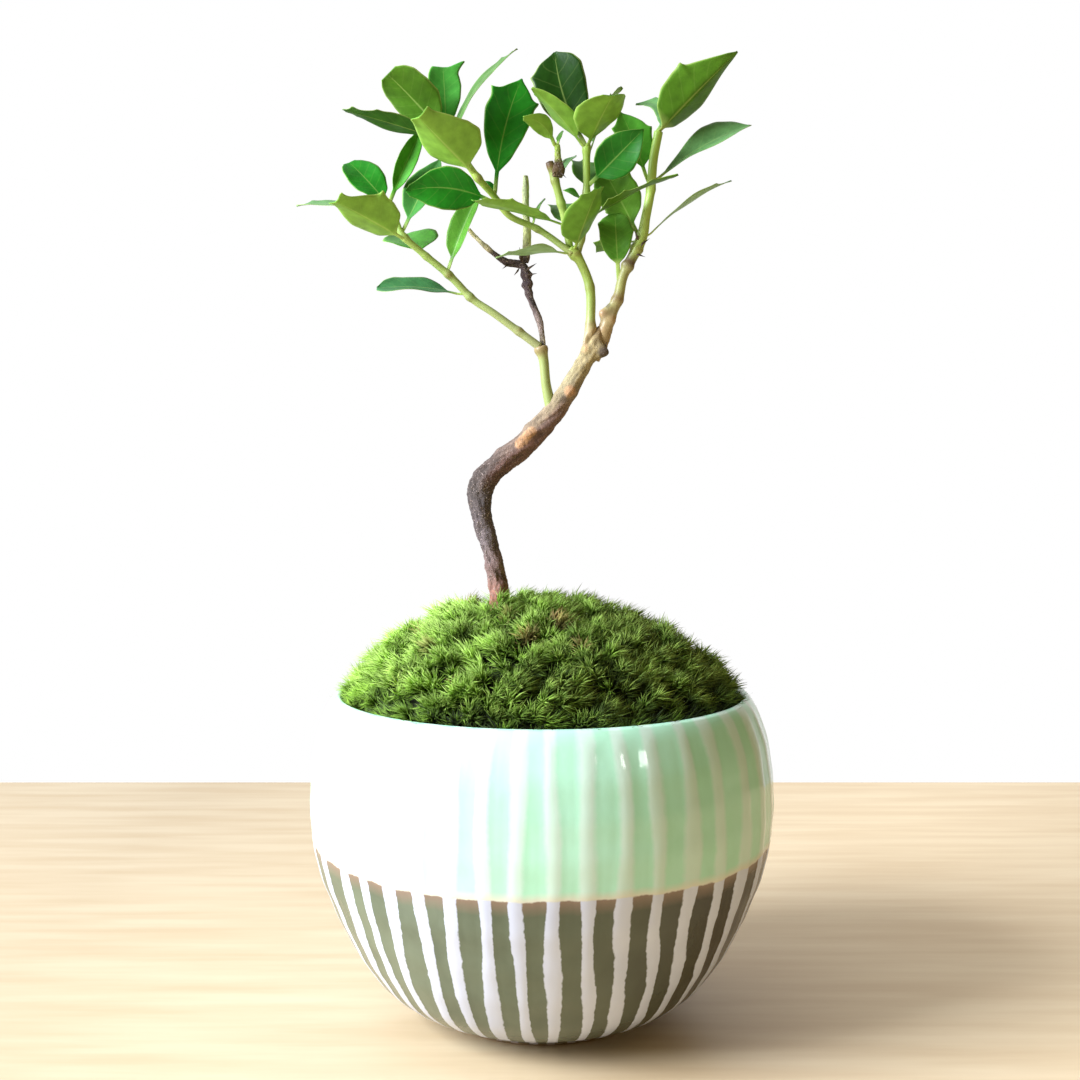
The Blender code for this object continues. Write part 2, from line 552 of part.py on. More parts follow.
def main():
    clear_scene()
    parts = make_collection("holly_bonsai")
    cutters = make_collection("cutters")

    trunk_route = smooth_route(TRUNK)
    routes = {"trunk": trunk_route}
    trunk_cutter = build_trunk_cutter(trunk_route, cutters)

    build_pot(parts)
    build_drain_net(parts)
    half = NET_SIDE / 2 + GAP
    top = FLOOR_TOP + NET_THICKNESS + 2 * GAP
    bpy.ops.mesh.primitive_cube_add(size=1.0, location=(0, 0, top / 2))
    net_cutter = bpy.context.active_object
    net_cutter.name = "net_space"
    net_cutter.scale = (2 * half, 2 * half, top)
    hide_helper(net_cutter)
    for collection in net_cutter.users_collection:
        collection.objects.unlink(net_cutter)
    cutters.objects.link(net_cutter)

    build_soil(parts, net_cutter, trunk_cutter)
    build_moss(parts, cutters, trunk_cutter)
    bark = make_material("stem_bark", BARK, 0.85)
    build_tube("trunk", trunk_route, parts, bark, sides=3)
    build_stems(parts, routes)
    build_leaves(parts, routes)


main()
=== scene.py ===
# %% [markdown]
# # A dwarf holly bonsai in a striped, glazed pot
# A finger-high holly stands on a bent bare trunk above a cushion of moss. The pot under it is
# thrown stoneware with brushed stripes, dipped upside down in a pale green glaze.
# The solid model of the tree is loaded first. It fixes where everything is, and each step below
# gives one of its pieces the surface that the real thing has. All lengths are in metres.

# %% load the solid model
from math import radians

import bpy
import numpy as np
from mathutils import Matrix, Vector


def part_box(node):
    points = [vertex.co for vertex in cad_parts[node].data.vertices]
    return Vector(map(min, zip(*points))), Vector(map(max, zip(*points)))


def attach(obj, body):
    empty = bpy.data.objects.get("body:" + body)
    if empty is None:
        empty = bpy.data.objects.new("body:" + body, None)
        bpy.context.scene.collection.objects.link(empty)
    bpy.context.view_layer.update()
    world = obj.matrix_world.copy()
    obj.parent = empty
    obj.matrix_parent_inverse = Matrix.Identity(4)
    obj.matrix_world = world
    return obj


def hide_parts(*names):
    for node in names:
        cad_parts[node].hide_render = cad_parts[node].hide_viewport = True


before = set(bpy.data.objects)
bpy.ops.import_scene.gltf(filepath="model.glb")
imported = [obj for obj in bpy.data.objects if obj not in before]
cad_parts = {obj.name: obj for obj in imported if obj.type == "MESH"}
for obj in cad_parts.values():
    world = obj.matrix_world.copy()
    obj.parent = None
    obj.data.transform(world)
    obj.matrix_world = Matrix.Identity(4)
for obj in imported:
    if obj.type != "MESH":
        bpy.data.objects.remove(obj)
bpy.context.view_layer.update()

MM = 0.001

# %% [markdown]
# ## Tools for every material
# Paint colours are easiest to pick as sRGB hex values, but a shader mixes light, which adds up
# only in linear values. One function turns one into the other. A second one plugs values and
# links into a node, and a third adds any node with its options, so a material reads as a short
# list of nodes.

# %% colour and node tools
def linear(hex_colour):
    """An sRGB hex colour as linear RGBA: c / 12.92 when dark, else ((c + 0.055) / 1.055) ** 2.4."""
    parts = np.array([int(hex_colour[i:i + 2], 16) / 255 for i in (1, 3, 5)])
    straight = np.where(parts <= 0.04045, parts / 12.92, ((parts + 0.055) / 1.055) ** 2.4)
    return (*straight.tolist(), 1.0)


def plug(tree, node, sockets):
    """Gives each socket its number or colour, or links another node's output to it."""
    for socket, value in sockets.items():
        if isinstance(value, bpy.types.NodeSocket):
            tree.links.new(value, node.inputs[socket])
        else:
            node.inputs[socket].default_value = value


def add(tree, kind, sockets=None, stops=(), **options):
    """Adds one node, plugs its sockets and returns its outputs. Stops are the (place, hex
    colour) pairs of a ramp. A socket goes by its name, or by its number where a node has
    several of one name: a colour Mix takes its share at 0 and its two colours at 6 and 7, and
    gives its result at 2; a number Mix has its two numbers at 2 and 3."""
    node = tree.nodes.new("ShaderNode" + kind)
    for option, value in options.items():
        setattr(node, option, value)
    plug(tree, node, sockets or {})
    for index, (place, colour) in enumerate(stops):
        ramp = node.color_ramp.elements
        stop = ramp[index] if index < len(ramp) else ramp.new(place)
        stop.position = place
        stop.color = linear(colour)
    return node.outputs


def new_material(name):
    """A new material, its nodes, its Principled shader and the object's own coordinates."""
    material = bpy.data.materials.new(name)
    material.use_nodes = True
    tree = material.node_tree
    spot = add(tree, "TexCoord")["Object"]
    return material, tree, tree.nodes["Principled BSDF"], spot


print("tools ready: linear(#FFFFFF) =", linear("#FFFFFF"))

# %% [markdown]
# ## Tools for every surface
# Each shape here is a grid of points worked out with numpy: a formula of two parameters gives
# the whole grid at once, and quads join neighbouring points. Natural things also need noise that
# is smooth, repeatable and works on whole arrays.

# %% grids
def quads(rows, columns, wrap=False):
    """The quads of a rows x columns grid of points; wrapping joins the last column to the first."""
    row, column = np.meshgrid(
        np.arange(rows - 1), np.arange(columns if wrap else columns - 1), indexing="ij")
    after = (column + 1) % columns
    corners = (row * columns + column, row * columns + after,
               (row + 1) * columns + after, (row + 1) * columns + column)
    return np.stack(corners, -1).reshape(-1, 4)


def fan(ring, middle):
    """Triangles that close a ring of points round a middle point."""
    return np.stack([ring, np.roll(ring, -1), np.full(len(ring), middle)], -1)


def border(rows, columns):
    """The numbers of a grid's outer points in order, once round it."""
    return np.concatenate([np.arange(columns), np.arange(2, rows) * columns - 1,
                           rows * columns - 1 - np.arange(columns),
                           np.arange(rows - 2, 0, -1) * columns])


def ease(value, low, high):
    """0 below low, 1 above high, and the S curve 3t^2 - 2t^3 between them."""
    t = np.clip((value - low) / (high - low), 0.0, 1.0)
    return t * t * (3 - 2 * t)


print("a 3 x 3 grid has", len(quads(3, 3)), "quads, and", len(border(3, 3)), "points round it")

# %% smooth noise
def rough(points, size, seed=0):
    """Smooth noise from -1 to 1: the corners of a grid of cells `size` wide get fixed random
    values, and each point blends the eight corners of its cell."""
    place = np.asarray(points) / size + 31.7 * seed
    low = np.floor(place)
    part = place - low
    part = part * part * (3 - 2 * part)
    total = 0.0
    for corner in np.ndindex(2, 2, 2):
        wave = np.sin((low + corner) @ (127.1, 311.7, 74.7)) * 43758.5453
        weight = np.prod(np.where(np.array(corner), part, 1 - part), axis=-1)
        total = total + weight * (2 * (wave - np.floor(wave)) - 1)
    return total


def unit(vectors):
    """Each vector divided by its own length."""
    return vectors / np.maximum(np.linalg.norm(vectors, axis=-1, keepdims=True), 1e-12)


print("noise halfway between the corners of a cell:", round(float(rough((0.5, 0.5, 0.5), 1.0)), 3))

# %% mesh objects
def make_piece(name, points, faces, material, node, values=None, uv=None):
    """A mesh object from arrays. Faces is a list of index arrays, values are numbers or RGBA
    colours kept on the points, and uv has one pair for each corner of each face."""
    mesh = bpy.data.meshes.new(name)
    points = np.asarray(points, np.float32).reshape(-1, 3)
    corners = np.concatenate([f.ravel() for f in faces]).astype(np.int32)
    sizes = np.concatenate([np.full(len(f), f.shape[1]) for f in faces])
    mesh.vertices.add(len(points))
    mesh.vertices.foreach_set("co", points.ravel())
    mesh.loops.add(len(corners))
    mesh.loops.foreach_set("vertex_index", corners)
    mesh.polygons.add(len(sizes))
    mesh.polygons.foreach_set("loop_start", (np.cumsum(sizes) - sizes).astype(np.int32))
    mesh.polygons.foreach_set("use_smooth", np.ones(len(sizes), bool))
    if uv is not None:
        layer = mesh.uv_layers.new(name="surface")
        layer.data.foreach_set("uv", np.asarray(uv, np.float32).ravel())
    for key, numbers in (values or {}).items():
        numbers = np.asarray(numbers, np.float32)
        kind, field = ("FLOAT_COLOR", "color") if numbers.shape[-1:] == (4,) else ("FLOAT", "value")
        mesh.attributes.new(key, kind, "POINT").data.foreach_set(field, numbers.ravel())
    mesh.update(calc_edges=True)
    mesh.validate()
    mesh.materials.append(material)
    piece = bpy.data.objects.new(name, mesh)
    bpy.context.scene.collection.objects.link(piece)
    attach(piece, "root")
    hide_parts(node)
    return piece


print("solids to cover:", len(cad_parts))

# %% [markdown]
# ## Camera, light and table
# A tree this small is looked at from nearly level, so the camera stands 29 cm in front, a little
# above the rim, tipped down by 3.6 degrees. The light is a bright window on the left and a
# dimmer, warmer room on the right. A world colour that changes with direction gives that room,
# and seen directly it is a plain white wall. One large soft lamp is the window. Two small ones
# are the panes of a window far across the room, which glint in the glaze. The floor is a plain
# pale table top.

# %% camera
camera_data = bpy.data.cameras.new("camera")
camera_data.lens = 47.2
camera_data.sensor_width = 36.0
camera_data.clip_start = 0.01
camera = bpy.data.objects.new("camera", camera_data)
camera.location = (-0.0004, -0.290, 0.1156)
camera.rotation_euler = (radians(86.44), 0.0, 0.0)
bpy.context.scene.collection.objects.link(camera)
bpy.context.scene.camera = camera
bpy.context.scene.view_settings.view_transform = "Standard"
print("camera", camera.location[:], "lens", camera_data.lens)

# %% world, lamps and table
world = bpy.data.worlds.new("window_room")
bpy.context.scene.world = world
world.use_nodes = True
sky = world.node_tree
sky.nodes.clear()
toward = add(sky, "TexCoord")["Generated"]
# How far a direction points to the back and the left, from -1 to 1.
leftness = add(sky, "VectorMath", {0: toward, 1: (-0.80, 0.55, -0.05)},
               operation="DOT_PRODUCT")["Value"]
brightness = add(sky, "MapRange", {"Value": leftness, "From Min": -0.35, "From Max": 0.2},
                 interpolation_type="SMOOTHSTEP")["Result"]
room = add(sky, "Mix", {0: brightness, 6: linear("#78622C"), 7: linear("#FFFFFF")},
           data_type="RGBA")[2]
# Seen directly, the room is a plain white wall from every side.
seen = add(sky, "LightPath")["Is Camera Ray"]
wall = add(sky, "Mix", {0: seen, 6: room, 7: linear("#FFFFFF")}, data_type="RGBA")[2]
glow = add(sky, "Background", {"Color": wall, "Strength": 1.0})[0]
add(sky, "OutputWorld", {"Surface": glow})


def add_lamp(name, place, aim, size, watts, colour):
    """A square soft lamp at a place, turned to face the point it is aimed at."""
    data = bpy.data.lights.new(name, "AREA")
    data.shape = "SQUARE"
    data.size = size
    data.energy = watts
    data.color = linear(colour)[:3]
    lamp = bpy.data.objects.new(name, data)
    lamp.location = place
    back = unit(np.array(place) - np.array(aim))
    lamp.rotation_euler = Vector(back).to_track_quat("Z", "Y").to_euler()
    bpy.context.scene.collection.objects.link(lamp)


TREE, POT = (0, 0, 0.09), (0, 0, 0.05)          # what the lamps are turned to
add_lamp("window", (-0.60, -0.24, 0.42), TREE, size=0.40, watts=16.0, colour="#EAF2FF")
add_lamp("far_window_left_pane", (0.59, -0.723, 0.495), POT, size=0.05, watts=0.12, colour="#FFFFFF")
add_lamp("far_window_right_pane", (0.643, -0.67, 0.49), POT, size=0.08, watts=0.27, colour="#FFFFFF")

# Pale planed wood, sealed: warm cream with faint long grain, about 6 mm between grain lines.
table_top, tree, shader, spot = new_material("pale_planed_wood")
grain_map = add(tree, "Mapping", {"Vector": spot, "Scale": (6.0, 60.0, 1.0)})[0]
grain = add(tree, "TexNoise", {"Vector": grain_map, "Scale": 2.6, "Detail": 5.0})["Fac"]
paint = add(tree, "ValToRGB", {"Fac": grain}, stops=((0.35, "#CDB590"), (0.65, "#D8C4A2")))["Color"]
# Painted shade: the boards towards the window are made darker, and those away from it lighter.
sideways = add(tree, "SeparateXYZ", {0: spot})["X"]
painted_shade = add(tree, "MapRange", {"Value": sideways, "From Min": -0.12, "From Max": 0.12,
                                   "To Min": 0.76, "To Max": 1.2})[0]
paint = add(tree, "Mix", {0: 1.0, 6: paint, 7: painted_shade}, data_type="RGBA",
            blend_type="MULTIPLY")[2]
plug(tree, shader, {"Base Color": paint, "Roughness": 0.45})
table = bpy.data.meshes.new("table")
table.from_pydata([(-0.9, -0.7, 0), (0.9, -0.7, 0), (0.9, 0.2, 0), (-0.9, 0.2, 0)], [],
                  [(0, 1, 2, 3)])
table.materials.append(table_top)
table = bpy.data.objects.new("table", table)
bpy.context.scene.collection.objects.link(table)

# %% [markdown]
# ## The pot
# A thrown bowl is a profile turned round an axis, so its surface is a grid: rows run down the
# profile and columns run round it. Near the foot it curves in, and its shoulder turns in to a
# soft rim that the moss sits inside. The stripes are brushed on in thick white slip and stand a
# little proud, so the same stripe formula moves the clay out and paints the glaze. The UV map
# keeps that formula: U counts stripes round the pot, and V is the height above the glaze line
# in millimetres, so both stay sharp however far apart the points are.

# %% pot profile
# Bearing of each white stripe on the front, in degrees from the front to the right. They were
# brushed by eye, so their spacing drifts. The rest, behind, are spaced evenly.
BRUSHED = (-76, -64, -52.5, -44.5, -37, -28, -20.5, -12.8, -5.3, 1.9, 10, 18, 26, 35, 43.8, 54, 65)
STRIPES = 41
# The outside from the rim to the foot ring, as (radius, height) in mm.
OUTSIDE = ((40.7, 65.3), (41.2, 66.2), (42.0, 66.5), (42.9, 65.6), (43.8, 64.2), (45.2, 61.0),
           (46.2, 57.6), (47.0, 53.0), (47.5, 47.0), (47.5, 42.5), (47.0, 36.5), (45.9, 31.5),
           (44.5, 27.6), (42.9, 23.6), (41.3, 20.0), (38.9, 15.4), (36.0, 11.0), (32.9, 7.4),
           (29.0, 4.4), (25.0, 2.5), (22.3, 1.6), (21.3, 0.9), (20.9, 0.2))
# On under the foot ring, through the drain hole and up the inside to the rim.
INSIDE = ((20.6, 0.0), (17.4, 0.0), (17.0, 0.3), (16.6, 1.7), (16.0, 2.0), (8.0, 2.0),
          (7.5, 2.4), (7.5, 6.1), (7.9, 6.5), (24.0, 6.5), (28.5, 7.6), (33.0, 12.3),
          (37.6, 20.5), (41.0, 29.0), (43.0, 37.0), (43.5, 46.0), (42.8, 54.5), (41.9, 59.5),
          (41.0, 62.6), (40.6, 64.4))


def run_along(points):
    """How far along a line each of its points is, added up from gap to gap."""
    gaps = np.linalg.norm(np.diff(points[:, :3], axis=0), axis=1)
    return np.concatenate([[0.0], np.cumsum(gaps)])


def along_curve(points, step):
    """Points spaced evenly by `step` along a smooth Catmull-Rom curve through the given ones.
    Columns after the third, such as a radius, follow along."""
    p = np.asarray(points, float)
    p = np.vstack([2 * p[0] - p[1], p, 2 * p[-1] - p[-2]])
    t = np.linspace(0, 1, 16, endpoint=False)[:, None, None]
    a, b, c, d = p[:-3], p[1:-2], p[2:-1], p[3:]
    curve = 0.5 * (2 * b + (c - a) * t + (2 * a - 5 * b + 4 * c - d) * t ** 2
                   + (3 * b - a - 3 * c + d) * t ** 3)
    curve = np.vstack([curve.transpose(1, 0, 2).reshape(-1, p.shape[1]), p[-2]])
    run = run_along(curve)
    even = np.linspace(0, run[-1], max(2, round(run[-1] / step)) + 1)
    return np.stack([np.interp(even, run, column) for column in curve.T], -1)


outside = along_curve(OUTSIDE, 0.9)
inside = np.array(INSIDE)
profile = np.vstack([outside, inside]) * MM
print(len(outside), "rows outside,", len(inside), "rows under and inside")

# %% pot surface
def stripe_number(turn, height):
    """Which stripe a place is on: a white stripe's middle is a whole number and a half. Below
    30 mm the stripes slant out from the front and the back, by the sine of twice the turn, and
    slow waves stand for the hand."""
    bearings = np.array([*BRUSHED, *(360 + np.array(BRUSHED))])
    order = np.arange(len(BRUSHED)) + 0.5
    wave = 0.05 * np.sin(19 * turn + 0.10 * height) + 0.035 * np.sin(31 * turn - 0.21 * height)
    below = np.maximum(30.0 - height, 0.0)
    drawn = np.degrees(turn) - below * (0.25 * np.sin(2 * turn) + 0.06)
    return np.interp(drawn, bearings, [*order, *(order + STRIPES)]) + wave


def glaze_line(turn):
    """Height in mm of the line up to which the pot was dipped."""
    return (37.4 + 0.45 * np.sin(turn - 1.4) + 0.18 * np.sin(5 * turn + 1.0)
            + 0.10 * np.sin(23 * turn) + 0.07 * np.sin(61 * turn + 2.0))


WHITE_SHARE = 0.41             # of each stripe's pitch
SLIP_EDGE = 0.14               # of each stripe's pitch, where the slip thins out
SLIP_THICK, DIP_THICK = 0.16, 0.12              # mm
CLAY_INSET = 0.25              # mm that the bare clay stays inside the solid
POINTS_PER_STRIPE = 8
columns = STRIPES * POINTS_PER_STRIPE
# Turn 0 looks to the front, and the last column of the UV grid repeats the first.
turn = np.linspace(0, 2 * np.pi, columns + 1)[None, :]
radius, height = profile[:, :1], profile[:, 1:] + 0 * turn
number = stripe_number(turn, height / MM)
above_line = height / MM - glaze_line(turn)
# Distance from the middle of the nearest white stripe, in stripe pitches.
from_white = np.abs(number - np.floor(number) - 0.5)
is_outside = np.arange(len(profile))[:, None] < len(outside)
slip = ease(WHITE_SHARE / 2 + SLIP_EDGE / 2 - from_white, 0.0, SLIP_EDGE) * is_outside
# The slip fades out at the foot and on the rim.
slip = slip * ease(height / MM, 1.5, 5.0) * ease(66.0 - height / MM, 0.0, 3.0)
dip = DIP_THICK * ease(above_line, -0.25, 0.25) * is_outside
# Thrown on a wheel by hand: a slightly three-sided bowl with shallow rings.
thrown = 0.10 * np.sin(3 * turn + 1.0) + 0.05 * np.sin(height / MM * 0.9)
outward = (SLIP_THICK * slip + dip + thrown * is_outside - CLAY_INSET) * MM
pot_points = np.stack([(radius + outward) * np.sin(turn), -(radius + outward) * np.cos(turn),
                       height], -1)
pot_faces = quads(len(profile), columns, wrap=True)
first = np.arange(columns)
after = np.roll(first, -1)
last = (len(profile) - 1) * columns
# The grid runs rim, outside, foot, hole, inside; one more band joins its end to its start.
join = np.stack([last + first, last + after, after, first], -1)
uv_grid = np.stack([number, above_line], -1).reshape(-1, 2)
uv_corners = uv_grid[quads(len(profile), columns + 1)]
join_uv = uv_corners[:columns, [0, 1, 1, 0]]
GLAZED_FROM = 0.9              # mm above the table; the foot ring is wiped clean
raw = np.where(is_outside & (profile[:, 1:] > GLAZED_FROM * MM), 0.0, 1.0) + 0 * turn
print("pot grid:", len(profile), "x", columns)

# %% [markdown]
# ### Glazed stoneware
# The clay is a brown stoneware under a thin clear glaze, which looks olive where it pools. The
# slip is a white clay. The upper half was dipped in a celadon glaze: an iron glaze, pale green,
# glassy, and so thin that white slip shows through it. Where the dip ends, the clay shows a
# reddish line, and the glaze has a pale fringe. A glaze is glass: IOR 1.5 and smooth.

# %% pot material
glazed, tree, shader, spot = new_material("striped_glazed_stoneware")
pattern = add(tree, "UVMap", uv_map="surface")["UV"]
axes = add(tree, "SeparateXYZ", {0: pattern})
# Ragged brush edges: wavers about 1.2 mm and 5 mm wide, up to WAVER of a stripe's pitch deep.
WAVER = 0.085
fine = add(tree, "TexNoise", {"Vector": spot, "Scale": 850.0, "Detail": 2.0})["Fac"]
slow = add(tree, "TexNoise", {"Vector": spot, "Scale": 190.0, "Detail": 1.0})["Fac"]
waver = add(tree, "Math", {0: fine, 1: slow}, operation="ADD")[0]
part_of_stripe = add(tree, "Math", {0: axes["X"]}, operation="FRACT")[0]
centred = add(tree, "Math", {0: part_of_stripe, 1: 0.5}, operation="SUBTRACT")[0]
away = add(tree, "Math", {0: centred}, operation="ABSOLUTE")[0]
wavered = add(tree, "Math", {0: waver, 1: WAVER, 2: away}, operation="MULTIPLY_ADD")[0]
edge = WHITE_SHARE / 2 + WAVER
white_slip = add(tree, "MapRange", {"Value": wavered, "From Min": edge + 0.018,
                                    "From Max": edge - 0.018})["Result"]
# Seen through the celadon the same edge is soft.
veiled = add(tree, "MapRange", {"Value": wavered, "From Min": edge + 0.075,
                                "From Max": edge - 0.055})["Result"]
line = add(tree, "Math", {0: waver, 1: 0.5, 2: axes["Y"]}, operation="MULTIPLY_ADD")[0]
dipped = add(tree, "MapRange", {"Value": line, "From Min": 0.35, "From Max": 0.65})[0]
near_line = add(tree, "MapRange", {"Value": line, "From Min": -2.4, "From Max": 0.4})[0]
fringe = add(tree, "MapRange", {"Value": line, "From Min": 2.2, "From Max": 0.6})[0]
cloud = add(tree, "TexNoise", {"Vector": spot, "Scale": 60.0, "Detail": 4.0})["Fac"]
clay = add(tree, "ValToRGB", {"Fac": cloud}, stops=((0.35, "#58624E"), (0.65, "#6C7660")))["Color"]
# Painted shade: the clay is made darker and browner towards the right side, away from the window.
sideways = add(tree, "SeparateXYZ", {0: spot})["X"]
painted_shade_right = add(tree, "MapRange", {"Value": sideways, "From Min": -0.006, "From Max": 0.032})[0]
clay = add(tree, "Mix", {0: painted_shade_right, 6: clay, 7: linear("#322E1C")}, data_type="RGBA")[2]
clay = add(tree, "Mix", {0: near_line, 6: clay, 7: linear("#85705F")}, data_type="RGBA")[2]
# The white slip is tinted cool blue as painted light, standing for the cool window light on it.
slip_and_painted_cool_light = add(tree, "ValToRGB", {"Fac": cloud},
                  stops=((0.3, "#C4CBDE"), (0.7, "#D2D8E8")))["Color"]
bare = add(tree, "Mix", {0: white_slip, 6: clay, 7: slip_and_painted_cool_light}, data_type="RGBA")[2]
celadon = add(tree, "ValToRGB", {"Fac": cloud}, stops=((0.3, "#A8DEBA"), (0.7, "#B8ECD2")))["Color"]
over_slip = add(tree, "Mix", {0: veiled, 6: celadon, 7: linear("#CAE6D6")}, data_type="RGBA")[2]
fringed = add(tree, "Mix", {0: fringe, 6: over_slip, 7: linear("#D8D8C4")}, data_type="RGBA")[2]
fired = add(tree, "Mix", {0: dipped, 6: bare, 7: fringed}, data_type="RGBA")[2]
unglazed = add(tree, "Attribute", attribute_name="raw_clay")["Fac"]
whole = add(tree, "Mix", {0: unglazed, 6: fired, 7: linear("#A58A6A")}, data_type="RGBA")[2]
shine = add(tree, "MapRange", {"Value": dipped, "To Min": 0.22, "To Max": 0.09})[0]
dull = add(tree, "Mix", {0: unglazed, 2: shine, 3: 0.75})[0]
# Orange-peel in the glaze, about 3 mm across and very shallow.
peel = add(tree, "TexNoise", {"Vector": spot, "Scale": 330.0, "Detail": 2.0})["Fac"]
peel = add(tree, "Bump", {"Height": peel, "Strength": 0.25, "Distance": 0.00012})[0]
plug(tree, shader, {"Base Color": whole, "Roughness": dull, "Normal": peel, "IOR": 1.5})
pot = make_piece("striped_pot", pot_points[:, :-1], [pot_faces[:, ::-1], join[:, ::-1]], glazed,
                 "pot", {"raw_clay": raw[:, :-1]},
                 np.concatenate([uv_corners[:, ::-1], join_uv[:, ::-1]]))
print("pot faces:", len(pot.data.polygons))

# %% [markdown]
# ## Net and soil
# Under the moss a square of black plastic net covers the drain hole, and the pot is filled with
# potting grit. Their solids have the right shape already, so they stay and get a material: the
# net is polyethylene, dull black with a faint mould texture, and the soil is baked clay grit,
# in grains of 2 to 4 mm and browns from ochre to nearly black.

# %% net and soil materials
net_plastic, tree, shader, spot = new_material("black_polyethylene_net")
haze = add(tree, "TexNoise", {"Vector": spot, "Scale": 900.0, "Detail": 3.0})["Fac"]
paint = add(tree, "ValToRGB", {"Fac": haze}, stops=((0.3, "#1B1B1C"), (0.7, "#2A2A2B")))["Color"]
plug(tree, shader, {"Base Color": paint, "Roughness": 0.55})

grit, tree, shader, spot = new_material("baked_clay_grit")
cells = add(tree, "TexVoronoi", {"Vector": spot, "Scale": 330.0})
dark = add(tree, "SeparateColor", {0: cells["Color"]})[0]
grains = add(tree, "ValToRGB", {"Fac": dark}, stops=(
    (0.0, "#2A1D14"), (0.5, "#5A3F2A"), (1.0, "#8A6A48")))["Color"]
lumps = add(tree, "Bump", {"Height": cells["Distance"], "Strength": 0.8,
                           "Distance": 0.001}, invert=True)[0]
plug(tree, shader, {"Base Color": grains, "Normal": lumps, "Roughness": 0.95})
for node, material in (("drain_net", net_plastic), ("potting_soil", grit)):
    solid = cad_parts[node]
    solid.data.materials.clear()
    solid.data.materials.append(material)
print("kept solids: drain_net, potting_soil")

# %% [markdown]
# ## Moss
# Moss cushions are crowds of upright shoots, each a stem with narrow leaves standing off it all
# round. Six cushions meet in creases that run out from the trunk, and each is one piece: a dark
# bed, and needles above it. A needle is a spindle of five points and six faces, with its middle
# pushed up so that it arches. Needles are worked out all together: each belongs to a shoot,
# leans out from it more the lower it stands, and keeps numbers for its colour. Shoots stand in
# clumps, each a small dome about 7 mm across, and the needles of a clump are combed one way.

# %% moss mound
# Top of the mound that the shoots reach on average, as (distance from the axis, height) in mm.
MOUND = np.array(((0.0, 85.0), (10.0, 83.8), (19.0, 81.0), (27.0, 76.8), (33.0, 72.6),
                  (37.0, 68.6), (39.6, 65.6), (40.3, 63.4)))
CREASES = np.radians((12, 75, 138, 197, 255, 318))
CREASE_CENTRE = np.array((-8.3, 0.0))
TRUNK_X = -8.4                 # where the trunk comes out of the moss
MOUND_EDGE = 41.0              # how far from the axis the lumps have faded out
WALL_RADIUS, WALL_TOP = 40.3, 66.4              # the inside of the pot's rim


def mound_height(x, y):
    """Height of the mound in mm at a place in mm, with lumps 9 mm and 4 mm across."""
    away = np.hypot(x, y)
    # The side towards the window has grown a little higher.
    windowward = 1.3 * ease(-x, 4.0, 22.0) * ease(MOUND_EDGE - away, 0.0, 5.0)
    # It has crept up a little in front of the trunk.
    by_trunk = 2.6 * np.exp(-((x - TRUNK_X) ** 2 + (y + 3.0) ** 2) / 24.0)
    smooth = np.interp(away, MOUND[:, 0], MOUND[:, 1]) + windowward + by_trunk
    flat = np.stack([x, y, 0 * x], -1)
    lumps = 1.1 * rough(flat, 9.0, 3) + 0.5 * rough(flat, 4.0, 5)
    return smooth + lumps * ease(MOUND_EDGE - away, 0.0, 6.0) - 1.6 * crease_depth(x, y)


def crease_place(x, y):
    """Bearing round the trunk from +X, in radians from 0 to 2 pi."""
    return np.mod(np.arctan2(y - CREASE_CENTRE[1], x - CREASE_CENTRE[0]), 2 * np.pi)


def crease_depth(x, y):
    """1 in a crease and 0 from 2 mm away: the distance to the nearest crease line."""
    flat = np.stack([x, y, 0 * x], -1)
    bearing = crease_place(x, y) + 0.06 * rough(flat, 6.0, 8)
    away = np.hypot(x - CREASE_CENTRE[0], y - CREASE_CENTRE[1])
    turn = np.abs(np.angle(np.exp(1j * (bearing[..., None] - CREASES)))).min(axis=-1)
    return 1 - ease(away * turn, 0.2, 2.0)


def mound_normal(x, y):
    """Upward normal from the height's slopes over a millimetre each way."""
    slope_x = (mound_height(x + 1, y) - mound_height(x - 1, y)) / 2
    slope_y = (mound_height(x, y + 1) - mound_height(x, y - 1)) / 2
    return unit(np.stack([-slope_x, -slope_y, np.ones_like(x)], -1))


print("mound at the middle:", round(float(mound_height(np.array(0.0), np.array(0.0))), 1), "mm")

# %% needle shape
SHOOT_SPACING, CLUMP_SPACING = 2.3, 6.6         # mm
NEEDLES = 72                   # on each shoot
SHOOT_LENGTHS, NEEDLE_LENGTHS = (4.0, 5.6), (2.6, 4.4)      # mm
NEEDLE_RADII = (0.10, 0.17)    # mm; real leaves are finer and more, too many to build
# The six triangles of a spindle: point 0 is its start, 1 to 3 its middle and 4 its tip.
SPINDLE = np.array(((0, 1, 2), (0, 2, 3), (0, 3, 1), (4, 2, 1), (4, 3, 2), (4, 1, 3)))
chance = np.random.default_rng(7)


def spindles(start, middle, tip, across, flat, thick, wide):
    """Five points of each spindle: its start, a triangle round its middle and its tip. The
    triangle is thick times (1, 0), (-0.5, wide) and (-0.5, -wide) along two ways square to it."""
    ring = [middle + thick * (across * c + flat * s)
            for c, s in ((1.0, 0.0), (-0.5, wide), (-0.5, -wide))]
    return np.stack([start, *ring, tip], -2)


def spindle_faces(count, first):
    """The triangles of so many spindles, whose points are numbered on from the first."""
    return (SPINDLE + 5 * np.arange(count)[:, None, None] + first).reshape(-1, 3)


print("a needle has", len(SPINDLE), "faces, and a shoot", NEEDLES, "needles")

# %% clumps
def scatter(spacing, inside, shift):
    """Places on a hexagonal grid this far apart in mm, each moved by up to `shift` of that,
    that lie within a radius."""
    count = int(46 / spacing)
    i, j = np.meshgrid(np.arange(-2 * count, 2 * count + 1), np.arange(-2 * count, 2 * count + 1))
    places = np.stack([i + 0.5 * (j % 2), j * 0.866], -1).reshape(-1, 2)
    places = (places + chance.uniform(-shift, shift, places.shape)) * spacing
    return places[np.hypot(*places.T) < inside]


clumps = scatter(CLUMP_SPACING, 43.0, 0.32)
